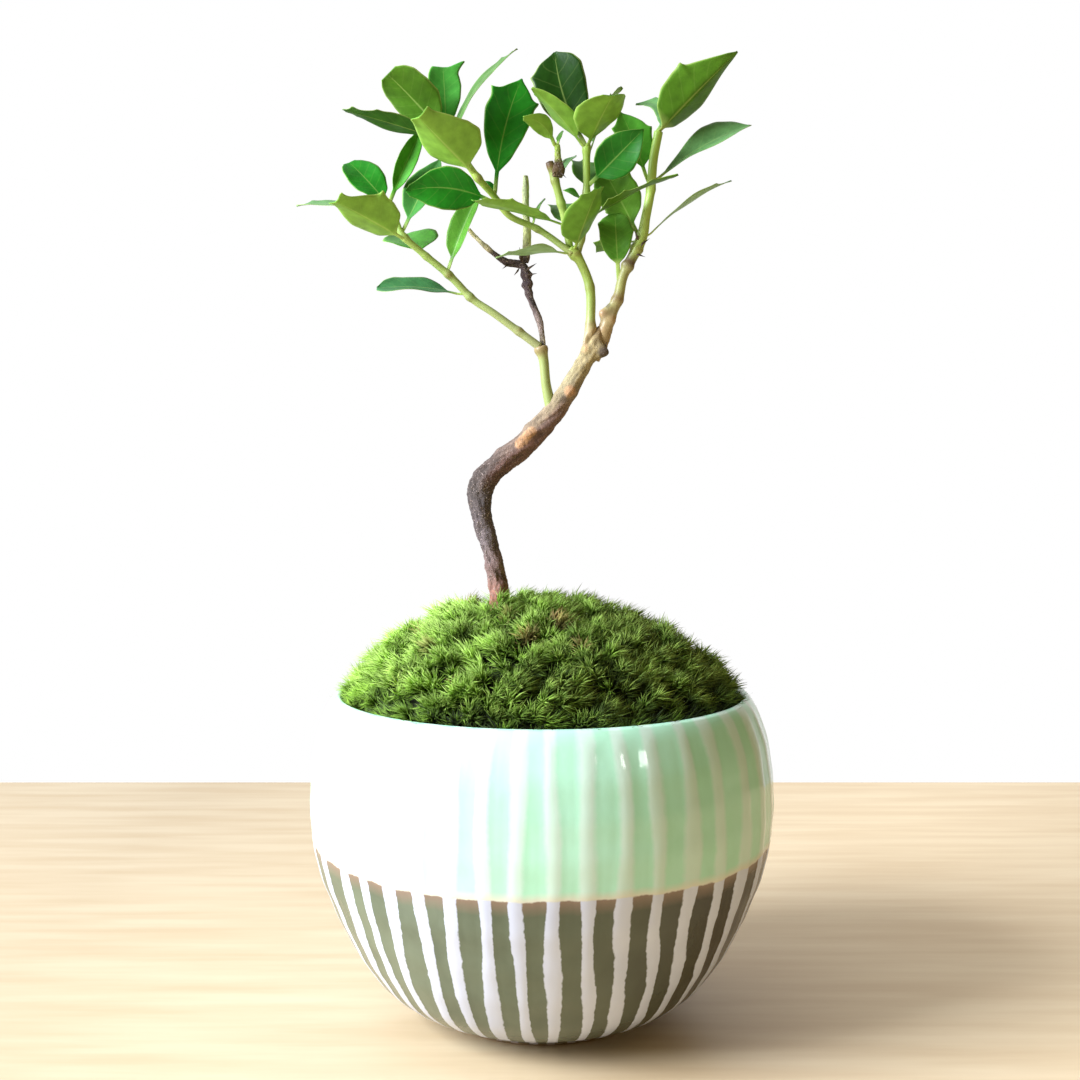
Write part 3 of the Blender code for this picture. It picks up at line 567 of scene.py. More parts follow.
# The needles of a clump are combed one way: outward, give or take a turn of its own.
combed = np.arctan2(clumps[:, 1], clumps[:, 0] + 8.0) + chance.normal(0.0, 0.9, len(clumps))
combed = np.stack([np.cos(combed), np.sin(combed), 0.3 + 0 * combed], -1)
print(len(clumps), "clumps")

# %% needles
def grow_needles(places):
    """All needles of the shoots at these places in mm. Each shoot leans away from the middle of
    its clump, and stands lower the further out it is, so a clump is a small dome. A needle
    starts on its shoot and leans by 1.35 minus 0.95 of its level. Returns points (needle, 5, 3)
    in metres and the numbers that the needles are coloured by."""
    x, y = places.T
    gap = places[:, None] - clumps
    nearest = np.argmin((gap ** 2).sum(axis=-1), axis=1)
    offset = gap[np.arange(len(places)), nearest] / (CLUMP_SPACING * 0.5)
    far_out = np.clip(np.hypot(*offset.T), 0, 1.2)
    out = mound_normal(x, y)
    over_rim = ease(np.hypot(x, y), 36.5, 39.5)[:, None]
    comb = combed[nearest]
    up = unit(out + 0.50 * np.column_stack([offset, 0 * x]) + 0.24 * chance.normal(size=out.shape)
              + over_rim * np.column_stack([x / 40, y / 40, 0 * x - 0.1])
              + np.array((0, 0, 0.25)) * (1 - over_rim))
    lift = (1.1 - 2.6 * far_out ** 2) * (1 - 0.6 * over_rim[:, 0])
    length = chance.uniform(*SHOOT_LENGTHS, len(x))
    root = np.stack([x, y, mound_height(x, y) + lift - 0.4], -1) - up * (length * 0.85)[:, None]
    # Where on its shoot each needle stands, and the way round the stem that it leans.
    level = chance.uniform(0.3, 1.0, (len(x), NEEDLES))
    round_stem = chance.uniform(0, 2 * np.pi, level.shape)
    side = unit(np.cross(up, (0.3, 0.9, 0.1)))
    other = np.cross(up, side)
    lean = (side[:, None] * np.cos(round_stem)[..., None]
            + other[:, None] * np.sin(round_stem)[..., None])
    spread = 1.35 - 0.95 * level + 0.2 * chance.normal(size=level.shape)
    way = unit(up[:, None] + lean * spread[..., None])
    start = root[:, None] + up[:, None] * (level * length[:, None] * 0.74)[..., None]
    needle = chance.uniform(*NEEDLE_LENGTHS, level.shape)[..., None]
    middle = start + way * needle * 0.5 + up[:, None] * 0.12 * needle
    swept = 0.30 * comb[:, None] + 0.22 * lean * chance.uniform(-0.5, 1.3, needle.shape)
    tip = start + way * needle * 0.92 + swept * needle
    across = unit(np.cross(way, up[:, None] + 0.01))
    flat = np.cross(way, across)
    half = chance.uniform(*NEEDLE_RADII, level.shape)[..., None]
    points = spindles(start, middle, tip, across, flat, half, wide=0.6).reshape(-1, 5, 3) * MM
    # Below the rim the pot's wall holds the needles in.
    reach = np.hypot(points[..., 0], points[..., 1])
    held = np.where(points[..., 2] < WALL_TOP * MM, np.minimum(1.0, WALL_RADIUS * MM / reach), 1.0)
    points[..., :2] *= held[..., None]
    patch = np.stack([x, y, 0 * x], -1)
    # Painted light: the moss high up and towards the window is made yellower and brighter, with its
    # own patches of yellow on top.
    painted_light = 1 - ease(x + 1.6 * (82.0 - mound_height(x, y)), -10.0, 20.0)
    yellow_and_painted_light = np.clip(0.16 + 0.66 * painted_light
                     + 0.35 * rough(patch, 8.0, 11) + 0.18 * chance.normal(size=len(x)), 0, 1)
    dead = ease(rough(patch, 3.0, 13), 0.80, 0.92) * 0.8
    # Painted shade: needles are darker at the edge of their clump and where they hang over the rim.
    shaded = 0.55 * (far_out[:, None] > 0.95) * chance.uniform(0, 1, level.shape) + 0.42 * over_rim
    numbers = {"tip": level - shaded,
               "yellow_and_painted_light": yellow_and_painted_light[:, None] + 0 * level, "dead": dead[:, None] + 0 * level}
    return points, {key: value.ravel() for key, value in numbers.items()}


print("one shoot's needles:", NEEDLES * len(SPINDLE), "faces")

# %% [markdown]
# ### Moss green
# A moss leaf is one cell thick, soft and dry, so it has hardly any gloss. Young tips are
# yellow-green, the lower leaves are dark, and old shoots go brown. The colour comes from each
# needle's own numbers, with noise over a few millimetres. Those numbers also hold painted
# light, yellower and brighter high up and towards the window, and painted shade at clump edges
# and over the rim.

# %% moss material
moss_green, tree, shader, spot = new_material("living_moss")
level, yellow_and_painted_light, dead = (add(tree, "Attribute", attribute_name=name)["Fac"]
                       for name in ("tip", "yellow_and_painted_light", "dead"))
young = add(tree, "ValToRGB", {"Fac": level}, stops=(
    (0.0, "#222E0C"), (0.35, "#5A7A1C"), (0.7, "#8CB838"), (1.0, "#B8DA72")))["Color"]
old = add(tree, "ValToRGB", {"Fac": level}, stops=(
    (0.0, "#0E1606"), (0.35, "#263612"), (0.7, "#546E20"), (1.0, "#98B04E")))["Color"]
# The share of young colour also carries the painted light towards the window.
green = add(tree, "Mix", {0: yellow_and_painted_light, 6: old, 7: young}, data_type="RGBA")[2]
brown = add(tree, "ValToRGB", {"Fac": level}, stops=((0.0, "#241C10"), (1.0, "#B0885A")))["Color"]
colour = add(tree, "Mix", {0: dead, 6: green, 7: brown}, data_type="RGBA")[2]
patch = add(tree, "TexNoise", {"Vector": spot, "Scale": 260.0, "Detail": 3.0})["Fac"]
patch = add(tree, "MapRange", {"Value": patch, "From Min": 0.3, "From Max": 0.7,
                               "To Min": 0.55, "To Max": 1.25})[0]
colour = add(tree, "Mix", {0: 1.0, 6: colour, 7: patch}, data_type="RGBA", blend_type="MULTIPLY")[2]
plug(tree, shader, {"Base Color": colour, "Roughness": 0.7, "Specular IOR Level": 0.3})
print("moss material:", moss_green.name)

# %% six cushions
shoots = scatter(SHOOT_SPACING, 40.6, 0.42)
# None grows out of the trunk.
shoots = shoots[np.hypot(shoots[:, 0] - TRUNK_X, shoots[:, 1]) > 1.8]
owner = (np.searchsorted(CREASES, crease_place(*shoots.T)) - 1) % len(CREASES)
AROUND, OUT = 26, 30           # points of a cushion's bed
BED_RADIUS, BED_DEPTH, BED_THICK = 40.0, 3.0, 1.0           # mm


def cushion_bed(index):
    """A closed slab between two creases, from the crease centre to the rim, under the tips:
    its points are centre + reach * direction, for each bearing and reach."""
    following = (index + 1) % len(CREASES)
    end = CREASES[following] + (0.0 if following else 2 * np.pi)
    bearing, reach = np.meshgrid(np.linspace(CREASES[index], end, AROUND),
                                 np.linspace(0.05, 1, OUT), indexing="ij")
    ahead = np.stack([np.cos(bearing), np.sin(bearing)], -1)
    along = ahead @ CREASE_CENTRE
    to_rim = -along + np.sqrt(along ** 2 - CREASE_CENTRE @ CREASE_CENTRE + BED_RADIUS ** 2)
    flat = CREASE_CENTRE + ahead * (reach * to_rim)[..., None]
    top = np.dstack([flat, mound_height(flat[..., 0], flat[..., 1]) - BED_DEPTH])
    under = top - np.array((0, 0, BED_THICK))
    count = AROUND * OUT
    edge = border(AROUND, OUT)
    after = np.roll(edge, -1)
    faces = [quads(AROUND, OUT)[:, ::-1], quads(AROUND, OUT) + count,
             np.stack([edge, after, after + count, edge + count], -1)]
    return np.concatenate([top.reshape(-1, 3), under.reshape(-1, 3)]) * MM, faces


moss_total = 0
for index in range(len(CREASES)):
    bed, faces = cushion_bed(index)
    needles, numbers = grow_needles(shoots[owner == index])
    faces.append(spindle_faces(len(needles), len(bed)))
    # One number a needle becomes one for each of its points, lighter towards its tip.
    values = {key: np.repeat(number, 5) for key, number in numbers.items()}
    values["tip"] = (0.75 * numbers["tip"][:, None] - 0.18
                     + np.array((0.0, 0.25, 0.25, 0.25, 0.5))).ravel()
    values = {key: np.concatenate([np.full(len(bed), 0.1), value])
              for key, value in values.items()}
    name = f"moss_cushion_{index + 1}"
    make_piece(name + "_shoots", np.concatenate([bed, needles.reshape(-1, 3)]), faces,
               moss_green, name, values)
    moss_total += len(faces[-1])
print(len(shoots), "shoots,", moss_total, "needle faces")

# %% [markdown]
# ## Wood
# The trunk and every twig is a tube along a route: a ring of points round each place on a smooth
# curve, with a radius that changes along it. The routes are those of the solid model, so the
# tubes lie where its solids are. Each one starts inside the wood it grows from, so no gap shows.
# Bark is relief in the tube itself: long plates and cracks that follow the stem, rings at old
# leaf joints, and a few knobs and scars at their own places.

# %% routes, in mm
TRUNK = ((-7.6, 0, 62, 4.2), (-7.9, 0, 72, 3.0), (-8.6, 0, 86, 2.1),
         (-10.6, 0, 96, 1.9), (-12.5, 0, 104, 2.2), (-12.2, 0.3, 108.7, 2.5),
         (-8.6, 0.8, 113.2, 2.3), (-4.5, 1, 116.5, 2.4), (-1, 1, 120, 2.3), (2.7, 1, 124, 2.1),
         (5.2, 1, 127.8, 1.9), (7.4, 0.8, 131.5, 1.8), (9.5, 0.3, 135, 1.9), (10.4, 0, 137.3, 1.75),
         (11.3, 0.1, 139.6, 1.1), (11.8, 0.1, 141, 0.5))
STEMS = {
    "left_branch": ((2.3, 1, 123, 1.3), (0.9, 1, 129, 1.0), (0.4, 1, 134, 1.0),
                    (-0.3, 1, 137, 1.25)),
    "left_twig": ((-0.5, 0.8, 137, 0.85), (-9.5, 0, 143.5, 0.75), (-14, 0, 146.5, 0.75),
                  (-18.5, -1, 151, 0.75), (-24, -2, 155.5, 0.7), (-28, -2.8, 159, 0.7),
                  (-29.6, -1.5, 162.6, 0.65), (-31, 0.3, 165.7, 0.6)),
    "dead_twig": ((0.2, 1.6, 137, 0.7), (-0.4, 4, 142, 0.6), (-2.4, 5, 147.5, 0.6),
                  (-3.3, 5, 151.5, 0.8), (-4, 5, 154, 0.9), (-7.2, 5, 154.6, 0.7),
                  (-10.3, 5, 156.7, 0.6), (-13.8, 6, 160, 0.5), (-15.2, 6, 161.5, 0.45)),
    "dead_stick": ((-3.6, 5, 154.5, 0.8), (-3.1, 4.5, 158.5, 0.8), (-3.3, 4, 165, 0.72),
                   (-3.5, 4, 172, 0.7)),
    "centre_stem": ((9.3, -0.3, 137.8, 1.0), (9.9, 0, 143, 0.95), (9.7, 0, 149, 0.95),
                    (7.8, 0, 154, 0.95), (5.7, 0, 156.6, 1.2)),
    "left_crown_twig": ((6.2, -0.6, 155.6, 0.7), (-0.5, 0.5, 160.5, 0.65),
                        (-6.5, -1.5, 163, 0.65), (-9.5, -3.5, 166.5, 0.65),
                        (-13, -6.5, 170, 0.7), (-16.5, -6, 175, 0.6), (-19.5, -5, 178.5, 0.6)),
    "cut_shoot": ((5.7, 1.0, 156.8, 0.75), (4.6, 0.7, 163, 0.8), (3, 0, 169, 0.8),
                  (1.5, 0, 174, 0.75)),
    "knob_twig": ((3.1, -2.0, 170.6, 1.0), (3.3, -2.1, 172, 1.1), (3.2, -2.1, 173.4, 0.6),
                  (3, -2, 177, 0.55)),
    "crown_stem": ((7.3, 0.5, 156.0, 0.7), (8.7, 1, 162, 0.7), (9, 0.6, 168, 0.7),
                   (9, 0.4, 174, 0.75), (9, 0, 177.5, 0.8)),
    "right_stem": ((12, 0.6, 137.6, 1.3), (13.8, 0.4, 143, 1.2), (15.5, 0, 147, 1.1),
                   (16.6, 0, 151.5, 1.0), (20, 0, 158.4, 1.15), (21, 0, 163, 0.95),
                   (22, 0, 168.5, 0.9), (22.5, 0, 174.5, 0.9), (23.5, 0, 180, 0.9)),
}


def solid_points(node):
    """The corner points of a solid of the model, which is never changed here."""
    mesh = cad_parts[node].data
    found = np.empty(len(mesh.vertices) * 3, np.float32)
    mesh.vertices.foreach_get("co", found)
    return found.reshape(-1, 3).astype(float)


def ring_frame(centre):
    """For each place on a route: the way ahead, and two ways square to it and each other."""
    ahead = unit(np.gradient(centre, axis=0))
    side = unit(np.cross(ahead, (0.0, 1.0, 0.0)))
    return ahead, side, np.cross(ahead, side)


def tube(centre, radius, sides):
    """Rings round a route: centre + radius * (cos, sin) of the turn, square to the route, with
    a radius for every point of every ring. Both ends are closed to a point."""
    ahead, side, other = ring_frame(centre)
    turn = np.linspace(0, 2 * np.pi, sides, endpoint=False)
    rings = (centre[:, None] + side[:, None] * (radius * np.cos(turn))[..., None]
             + other[:, None] * (radius * np.sin(turn))[..., None])
    rows, ring = len(centre), np.arange(sides)
    ends = [centre[0], centre[-1] + ahead[-1] * radius[-1].mean() * 0.3]
    faces = [quads(rows, sides, wrap=True)[:, ::-1], fan(ring, rows * sides),
             fan(ring[::-1] + (rows - 1) * sides, rows * sides + 1)]
    return np.concatenate([rings.reshape(-1, 3), ends]), faces


print(1 + len(STEMS), "routes")

# %% [markdown]
# ### Bark, dead wood and green twigs
# The old bark is thin and scaly, redder near the moss, nearly black-brown at the bend, and
# paler where the twigs start. This year's twigs are green and satin-smooth, with tan rings at
# old leaf joints. The dead twig has lost its bark: grey-brown split fibres. Each stem's colours
# run along it, so they are worked out with its shape and kept on its points. The material adds
# what is finer: streaks along the stem, dark cracks, and pale specks of lichen and cork.

# %% wood materials
def wood_material(name, crack_colour, speck_colour, specks, roughness, fibre, bumpy, contrast):
    """The stem's own colour with streaks, cracks and specks. Fibre is the noise scale per
    metre: 1000 gives grains about a millimetre wide. Specks is how strong they get, bumpy how
    strong the relief is, and contrast how much the streaks darken and lighten. The attribute
    `old` says where on the stem the specks and the relief show."""
    material, tree, shader, spot = new_material(name)
    base = add(tree, "Attribute", attribute_name="skin")["Color"]
    crack = add(tree, "Attribute", attribute_name="crack")["Fac"]
    old = add(tree, "Attribute", attribute_name="old")["Fac"]
    stretched = add(tree, "Mapping", {"Vector": spot, "Scale": (1.0, 1.0, 0.5)})[0]
    streak = add(tree, "TexNoise", {"Vector": stretched, "Scale": fibre, "Detail": 6.0,
                                    "Roughness": 0.7})["Fac"]
    light = add(tree, "MapRange", {"Value": streak, "From Min": 0.32, "From Max": 0.68,
                                   "To Min": 1 - contrast, "To Max": 1 + contrast})[0]
    base = add(tree, "Mix", {0: 1.0, 6: base, 7: light}, data_type="RGBA", blend_type="MULTIPLY")[2]
    base = add(tree, "Mix", {0: crack, 6: base, 7: linear(crack_colour)}, data_type="RGBA")[2]
    dots = add(tree, "TexNoise", {"Vector": spot, "Scale": fibre * 1.7, "Detail": 3.0})[0]
    dots = add(tree, "MapRange", {"Value": dots, "From Min": 0.57, "From Max": 0.66,
                                  "To Max": specks})[0]
    dots = add(tree, "Math", {0: dots, 1: old}, operation="MULTIPLY")[0]
    base = add(tree, "Mix", {0: dots, 6: base, 7: linear(speck_colour)}, data_type="RGBA")[2]
    height = add(tree, "Math", {0: streak, 1: old, 2: dots}, operation="MULTIPLY_ADD")[0]
    bump = add(tree, "Bump", {"Height": height, "Strength": bumpy, "Distance": 0.0007})[0]
    plug(tree, shader, {"Base Color": base, "Normal": bump, "Roughness": roughness})
    return material


bark = wood_material("thin_scaly_bark", "#2C221F", "#C8B4AC", specks=0.55, roughness=0.85,
                     fibre=1500.0, bumpy=0.7, contrast=0.4)
dead_wood = wood_material("weathered_dead_wood", "#2E2422", "#C4B4A4", specks=0.5, roughness=0.9,
                          fibre=1500.0, bumpy=0.8, contrast=0.5)
green_bark = wood_material("green_twig_bark", "#6B5A38", "#D4DCA6", specks=0.05, roughness=0.45,
                           fibre=500.0, bumpy=0.01, contrast=0.03)
print("wood materials:", bark.name, dead_wood.name, green_bark.name)

# %% colours and marks of each stem
# Colours from where a stem grows out to its end, as (part of its length, colour).
FRESH = ((0.0, "#949E5C"), (0.08, "#96A85A"), (0.5, "#A0BA5A"), (1.0, "#A4C856"))
STEM_COLOURS = {
    "trunk": ((0.0, "#965A44"), (0.27, "#9C6854"), (0.32, "#866860"), (0.40, "#6A5E5E"),
              (0.47, "#544A4A"), (0.52, "#4A423E"), (0.58, "#5A4C46"), (0.65, "#725E52"),
              (0.75, "#8E7C64"), (0.86, "#A09470"), (0.95, "#A09066"), (1.0, "#846C4C")),
    "left_branch": ((0.0, "#8A7E58"), (0.2, "#8E9C58"), (0.8, "#94A25E"), (1.0, "#A08A62")),
    "left_twig": ((0.0, "#A0A674"), (0.1, "#A2AE74"), (0.4, "#9AAE66"), (0.7, "#98B45A"),
                  (1.0, "#A0C254")),
    "dead_twig": ((0.0, "#A09478"), (0.12, "#96867E"), (0.28, "#6E5E5C"), (0.42, "#54464A"),
                  (0.66, "#4C4042"), (0.77, "#54484A"), (0.81, "#B8AE88"), (1.0, "#D2CC9E")),
    "dead_stick": ((0.0, "#5A4A42"), (0.14, "#7C6C5C"), (0.24, "#C4CC96"), (1.0, "#D6E0B0")),
    "centre_stem": ((0.0, "#988262"), (0.24, "#A6946A"), (0.34, "#96A45C"), (0.5, "#96AC56"),
                    (1.0, "#A0BE56")),
    "cut_shoot": ((0.0, "#A4C05A"), (0.85, "#A2B45C"), (0.95, "#7E6440"), (1.0, "#5A4430")),
    "knob_twig": ((0.0, "#6C5638"), (0.42, "#58442E"), (0.6, "#A0AE58"), (1.0, "#A0C452")),
    "right_stem": ((0.0, "#A08A60"), (0.12, "#A08C62"), (0.2, "#A8966C"), (0.24, "#A8A670"),
                   (0.28, "#8C7A50"), (0.32, "#A2A664"), (0.40, "#96985C"), (0.44, "#5E4C38"),
                   (0.49, "#A2BC5E"), (1.0, "#A0C452")),
}
# Lumps of each stem: (x, y, z, how wide, how high) in mm and how tan the scar on it is. Less
# than 0 is a dark stain; the two beside the raised scar on the trunk are painted shadow.
LUMPS = {
    "trunk": ((-14.6, -0.6, 108.6, 2.2, 0.35, 0.0), (-12.8, -1.0, 111.5, 1.6, 0.2, 0.0),
              (-4.6, -1.3, 117.2, 1.2, 0.1, 0.8), (-3.8, -1.4, 118.0, 1.35, 0.1, 0.9),
              (-3.0, -1.4, 118.9, 1.35, 0.15, 0.9), (-2.1, -1.3, 119.8, 1.2, 0.1, 0.8),
              (-6.4, 0.6, 110.8, 1.6, 0.35, 0.0), (5.7, -1.1, 127.9, 1.5, 0.6, 0.8),
              (6.7, -1.1, 126.9, 0.9, 0.1, -0.7), (4.3, -1.1, 126.2, 0.9, 0.1, -0.5),
              (7.4, -0.6, 127.6, 1.0, 0.5, 0.1), (1.0, -1.0, 119.6, 1.3, 0.35, 0.0),
              (-9.9, -1.8, 92.0, 2.0, 0.2, 0.0), (-13.6, -0.4, 100.5, 1.6, 0.25, 0.0),
              (12.2, -0.8, 136.0, 1.5, 1.4, -0.9), (8.6, -1.2, 136.6, 1.2, 0.5, 0.4)),
    "right_stem": ((12.4, -0.5, 143.7, 1.2, 2.0, 0.6), (12.0, -0.4, 140.6, 1.4, 0.5, 0.2),
                   (14.6, -0.8, 142.4, 1.0, 0.4, 0.3), (13.4, -0.6, 145.2, 0.7, 0.4, -0.6),
                   (12.1, -0.9, 142.2, 0.7, 0.0, -0.7)),
    "centre_stem": ((10.6, -0.3, 140.0, 1.3, 0.4, 0.2),),
}
# From where on these dead stems are pale, and how much of the others still has the trunk's bark.
PALE_FROM = {"dead_stick": 0.10, "dead_twig": 0.80}
WOODY_FEET = {"centre_stem": 0.30, "right_stem": 0.23, "left_branch": 0.10}
# Old leaf joints on each stem: (part of its length, how far the ring stands out in mm).
JOINTS = {
    "left_branch": ((0.08, 0.2), (0.95, 0.25)),
    "left_twig": ((0.12, 0.15), (0.40, 0.3), (0.54, 0.25), (0.67, 0.15), (0.80, 0.2)),
    "centre_stem": ((0.30, 0.12), (0.62, 0.1), (0.93, 0.25)),
    "left_crown_twig": ((0.24, 0.15), (0.50, 0.25), (0.69, 0.2), (0.94, 0.1)),
    "cut_shoot": ((0.24, 0.15), (0.52, 0.2), (0.78, 0.15), (0.95, 0.15)),
    "crown_stem": ((0.12, 0.15), (0.24, 0.12), (0.44, 0.15), (0.56, 0.15), (0.95, 0.2)),
    "right_stem": ((0.06, 0.3), (0.27, 0.25), (0.42, 0.5), (0.50, 0.25), (0.76, 0.2)),
    "knob_twig": ((0.2, 0.25), (0.4, 0.3)),
    "dead_twig": ((0.38, 0.3), (0.44, 0.5), (0.50, 0.45)), "dead_stick": ((0.05, 0.3),),
}
# Torn fibres on the dead joint and on the brown nodes: (start, tip), in mm.
SPLINTERS = {
    "dead_twig": (((-3.6, 4.2, 152.6), (-1.0, 2.8, 154.2)), ((-3.4, 4.4, 151.8), (-0.9, 3.6, 152.2)),
                  ((-4.2, 4.4, 154.2), (-4.6, 3.4, 157.6)), ((-4.6, 4.2, 153.4), (-5.8, 3.0, 151.6)),
                  ((-6.8, 4.5, 154.4), (-8.2, 3.4, 153.0)), ((-3.2, 4.5, 150.2), (-1.9, 3.7, 148.2))),
    "right_stem": (((19.2, -0.6, 156.6), (21.8, -1.6, 158.6)),
                   ((19.6, -0.7, 157.8), (18.6, -1.8, 160.4)),
                   ((18.6, -0.7, 155.6), (20.9, -1.6, 154.8)),
                   ((19.0, 0.8, 157.0), (17.2, 1.6, 158.0))),
    "knob_twig": (((3.4, -2.8, 171.6), (4.9, -3.2, 170.2)), ((2.9, -2.9, 171.8), (1.8, -3.6, 170.6)),
                  ((3.6, -2.6, 172.8), (5.0, -3.0, 174.0))),
    "trunk": (((12.6, -0.8, 135.8), (13.2, -0.9, 138.0)),),
}
# Where two stems start deeper inside the trunk than their solids do, in mm.
BURIED_STARTS = {"right_stem": (10.6, 0.5, 134.4, 1.2), "centre_stem": (8.9, -0.1, 134.6, 1.0)}
print(sum(map(len, LUMPS.values())), "lumps,", sum(map(len, SPLINTERS.values())), "splinters")

# %% marks on a stem
def tint(own, colour, weight):
    """The colours moved this part of the way towards another one."""
    return own + (np.array(linear(colour)) - own) * weight


def add_joints(name, share, length, plates, relief):
    """Rings at old leaf joints: each raises the relief by a bell curve 0.75 mm wide. Returns
    the relief and how much of a ring each place is."""
    joint_ring = 0.0 * share
    for place, proud in JOINTS.get(name, ()):
        bell = np.exp(-((share - place) * length / (0.75 * MM)) ** 2)
        joint_ring = np.maximum(joint_ring, bell)
        relief = relief + (proud * MM * bell)[:, None] * (1 + 0.5 * plates)
    return relief, joint_ring


def add_lumps(name, skin, plates, relief):
    """Lumps: each raises the relief by a bell curve of the distance from its middle. Returns
    the relief, and how much of a tan scar and of a dark stain or painted shadow each place is."""
    scar, stain_and_painted_shadow = 0.0 * plates, 0.0 * plates
    for *place, wide, high, tan in LUMPS.get(name, ()):
        away = np.linalg.norm(skin - np.array(place) * MM, axis=-1)
        bell = np.exp(-(away / (wide * MM)) ** 2)
        relief = relief + high * MM * bell * (1 + 0.4 * plates)
        scar = np.maximum(scar, tan * ease(bell, 0.35, 0.75))
        stain_and_painted_shadow = np.maximum(stain_and_painted_shadow, -tan * ease(bell, 0.3, 0.6))
    return relief, scar, stain_and_painted_shadow


def stem_colours(name, share, square, plates):
    """The colour of every place on a stem, blended between the stops along it."""
    stops = STEM_COLOURS.get(name, FRESH)
    colours = np.array([linear(colour) for _, colour in stops])
    own = np.stack([np.interp(share, [place for place, _ in stops], channel)
                    for channel in colours.T], -1)[:, None] + 0 * plates[..., None]
    if name == "trunk":
        # Painted shade: the lower right side, away from the window, is tinted darker and redder.
        painted_shade = ease(square @ unit(np.array((0.8, -0.3, -0.6))), -0.2, 0.5)
        painted_shade = painted_shade * (ease(share, 0.50, 0.59) * (1 - ease(share, 0.76, 0.92)))[:, None]
        own = tint(own, "#6A4C44", 0.8 * painted_shade[..., None])
    return own


def make_splinters(name, first):
    """A stem's torn fibres as thin spindles: their points in metres and their faces."""
    ends = np.array(SPLINTERS[name]) * MM
    start, tip = ends[:, 0], ends[:, 1]
    way = tip - start
    across = unit(np.cross(way, (0.2, 1.0, 0.3)))
    flat = unit(np.cross(way, across))
    thick = 0.11 * np.linalg.norm(way, axis=1, keepdims=True)
    spikes = spindles(start, start + 0.35 * way, tip, across, flat, thick, wide=0.8)
    return spikes.reshape(-1, 3), spindle_faces(len(spikes), first)


print("marks ready for", len(JOINTS), "stems with joints")

# %% grow the stems
routes = {}


def grow_stem(name, points, material, slot, sides, step, depth):
    """One tube whose radius is the route's own, plus scaly relief `depth` mm deep, rings at its
    joints and lumps. Noise is read at the skin's own places, drawn out along the stem."""
    step, depth = step * MM, depth * MM
    route = along_curve(np.array(points, float) * MM, step)
    first, ahead = route[0, :3], unit(route[3, :3] - route[0, :3])
    # Leaves count along the part of the route that the stem's own solid covers.
    begun = 0.0 if name == "trunk" else np.min((solid_points(name) - first) @ ahead)
    routes[name] = route[(route[:, :3] - first) @ ahead >= begun]
    if name in BURIED_STARTS:
        route = along_curve(np.array((BURIED_STARTS[name], *points), float) * MM, step)
    centre, width = route[:, :3], route[:, 3:]
    _, side, other = ring_frame(centre)
    turn = np.linspace(0, 2 * np.pi, sides, endpoint=False)
    square = side[:, None] * np.cos(turn)[:, None] + other[:, None] * np.sin(turn)[:, None]
    skin = centre[:, None] + width[:, None] * square
    run = run_along(centre)
    share = run / run[-1]
    drawn_out = width[:, None] * square + np.array((0, 0, 0.35)) * run[:, None, None]
    plates = rough(drawn_out, 1.1 * MM, 4) + 0.5 * rough(drawn_out, 0.5 * MM, 6)
    fibres = rough(width[:, None] * square + np.array((0, 0, 0.12)) * run[:, None, None],
                   0.42 * MM, 9)
    grains = 0.6 * rough(drawn_out, 0.45 * MM, 2) + 0.5 * rough(skin, 0.33 * MM, 3)
    if material is bark:
        # Young bark is smoother than old bark.
        grains = grains * (1 - 0.65 * ease(share, 0.58, 0.75))[:, None]
    crack = ease(-plates, 0.25, 0.9)
    relief = depth * (0.8 * plates + 0.7 * grains + 0.9 * rough(skin, 2.6 * MM, 7))
    relief, joint_ring = add_joints(name, share, run[-1], plates, relief)
    relief, scar, stain_and_painted_shadow = add_lumps(name, skin, plates, relief)
    own = stem_colours(name, share, square, plates)
    if slot != "green_stem":
        own = own * (1 + 0.28 * fibres[..., None])
    own = tint(own, "#BC9068", scar[..., None])
    # Dark stains, and painted shadow beside the raised scar on the trunk.
    own = tint(own, "#44362C", stain_and_painted_shadow[..., None])
    # A stem that is woody at its foot turns smooth over the next few millimetres.
    foot = WOODY_FEET.get(name, 0.0)
    woody = (1 - ease(share, 0.8 * foot, 1.2 * foot + 0.01))[:, None] * (foot > 0)
    if material is green_bark:
        ring_share = (0.55 * joint_ring[:, None] * ease(plates, -0.4, 0.4))[..., None]
        own = tint(own, "#7A6238", ring_share)
        crack = crack * (0.03 + 0.77 * woody)
        relief = relief + woody * 0.22 * MM * (0.8 * plates + 0.7 * grains)
    if material is bark:
        crack = crack * (1 - 0.7 * ease(share, 0.6, 0.8))[:, None] * 0.5
    # Where the dead wood is young and pale it has fewer cracks and less lichen.
    pale_from = PALE_FROM.get(name, 2.0)
    pale = ease(share, pale_from - 0.02, pale_from + 0.02)[:, None]
    crack = crack * (1 - 0.7 * pale)
    # Where the specks and the finest relief of old wood show.
    old = np.full(plates.shape, 0.6 if slot == "green_stem" else 1.0)
    if name == "trunk":
        old = old * (1 - 0.75 * ease(share, 0.54, 0.69))[:, None]
    old = old * (1 - 0.6 * pale)
    made, faces = tube(centre, width + relief, sides)
    more = 0
    if name in SPLINTERS:
        spikes, spike_faces = make_splinters(name, len(made))
        made, faces, more = np.concatenate([made, spikes]), faces + [spike_faces], len(spikes)
    own = np.concatenate([own.reshape(-1, 4), own[0, :1], own[-1, :1],
                          np.tile(linear("#4E3E30"), (more, 1))])
    crack = np.concatenate([crack.ravel(), np.zeros(2 + more)])
    old = np.concatenate([old.ravel(), np.ones(2 + more)])
    make_piece(name + "_wood", made, faces, material, name,
               {"skin": own, "crack": crack, "old": old})


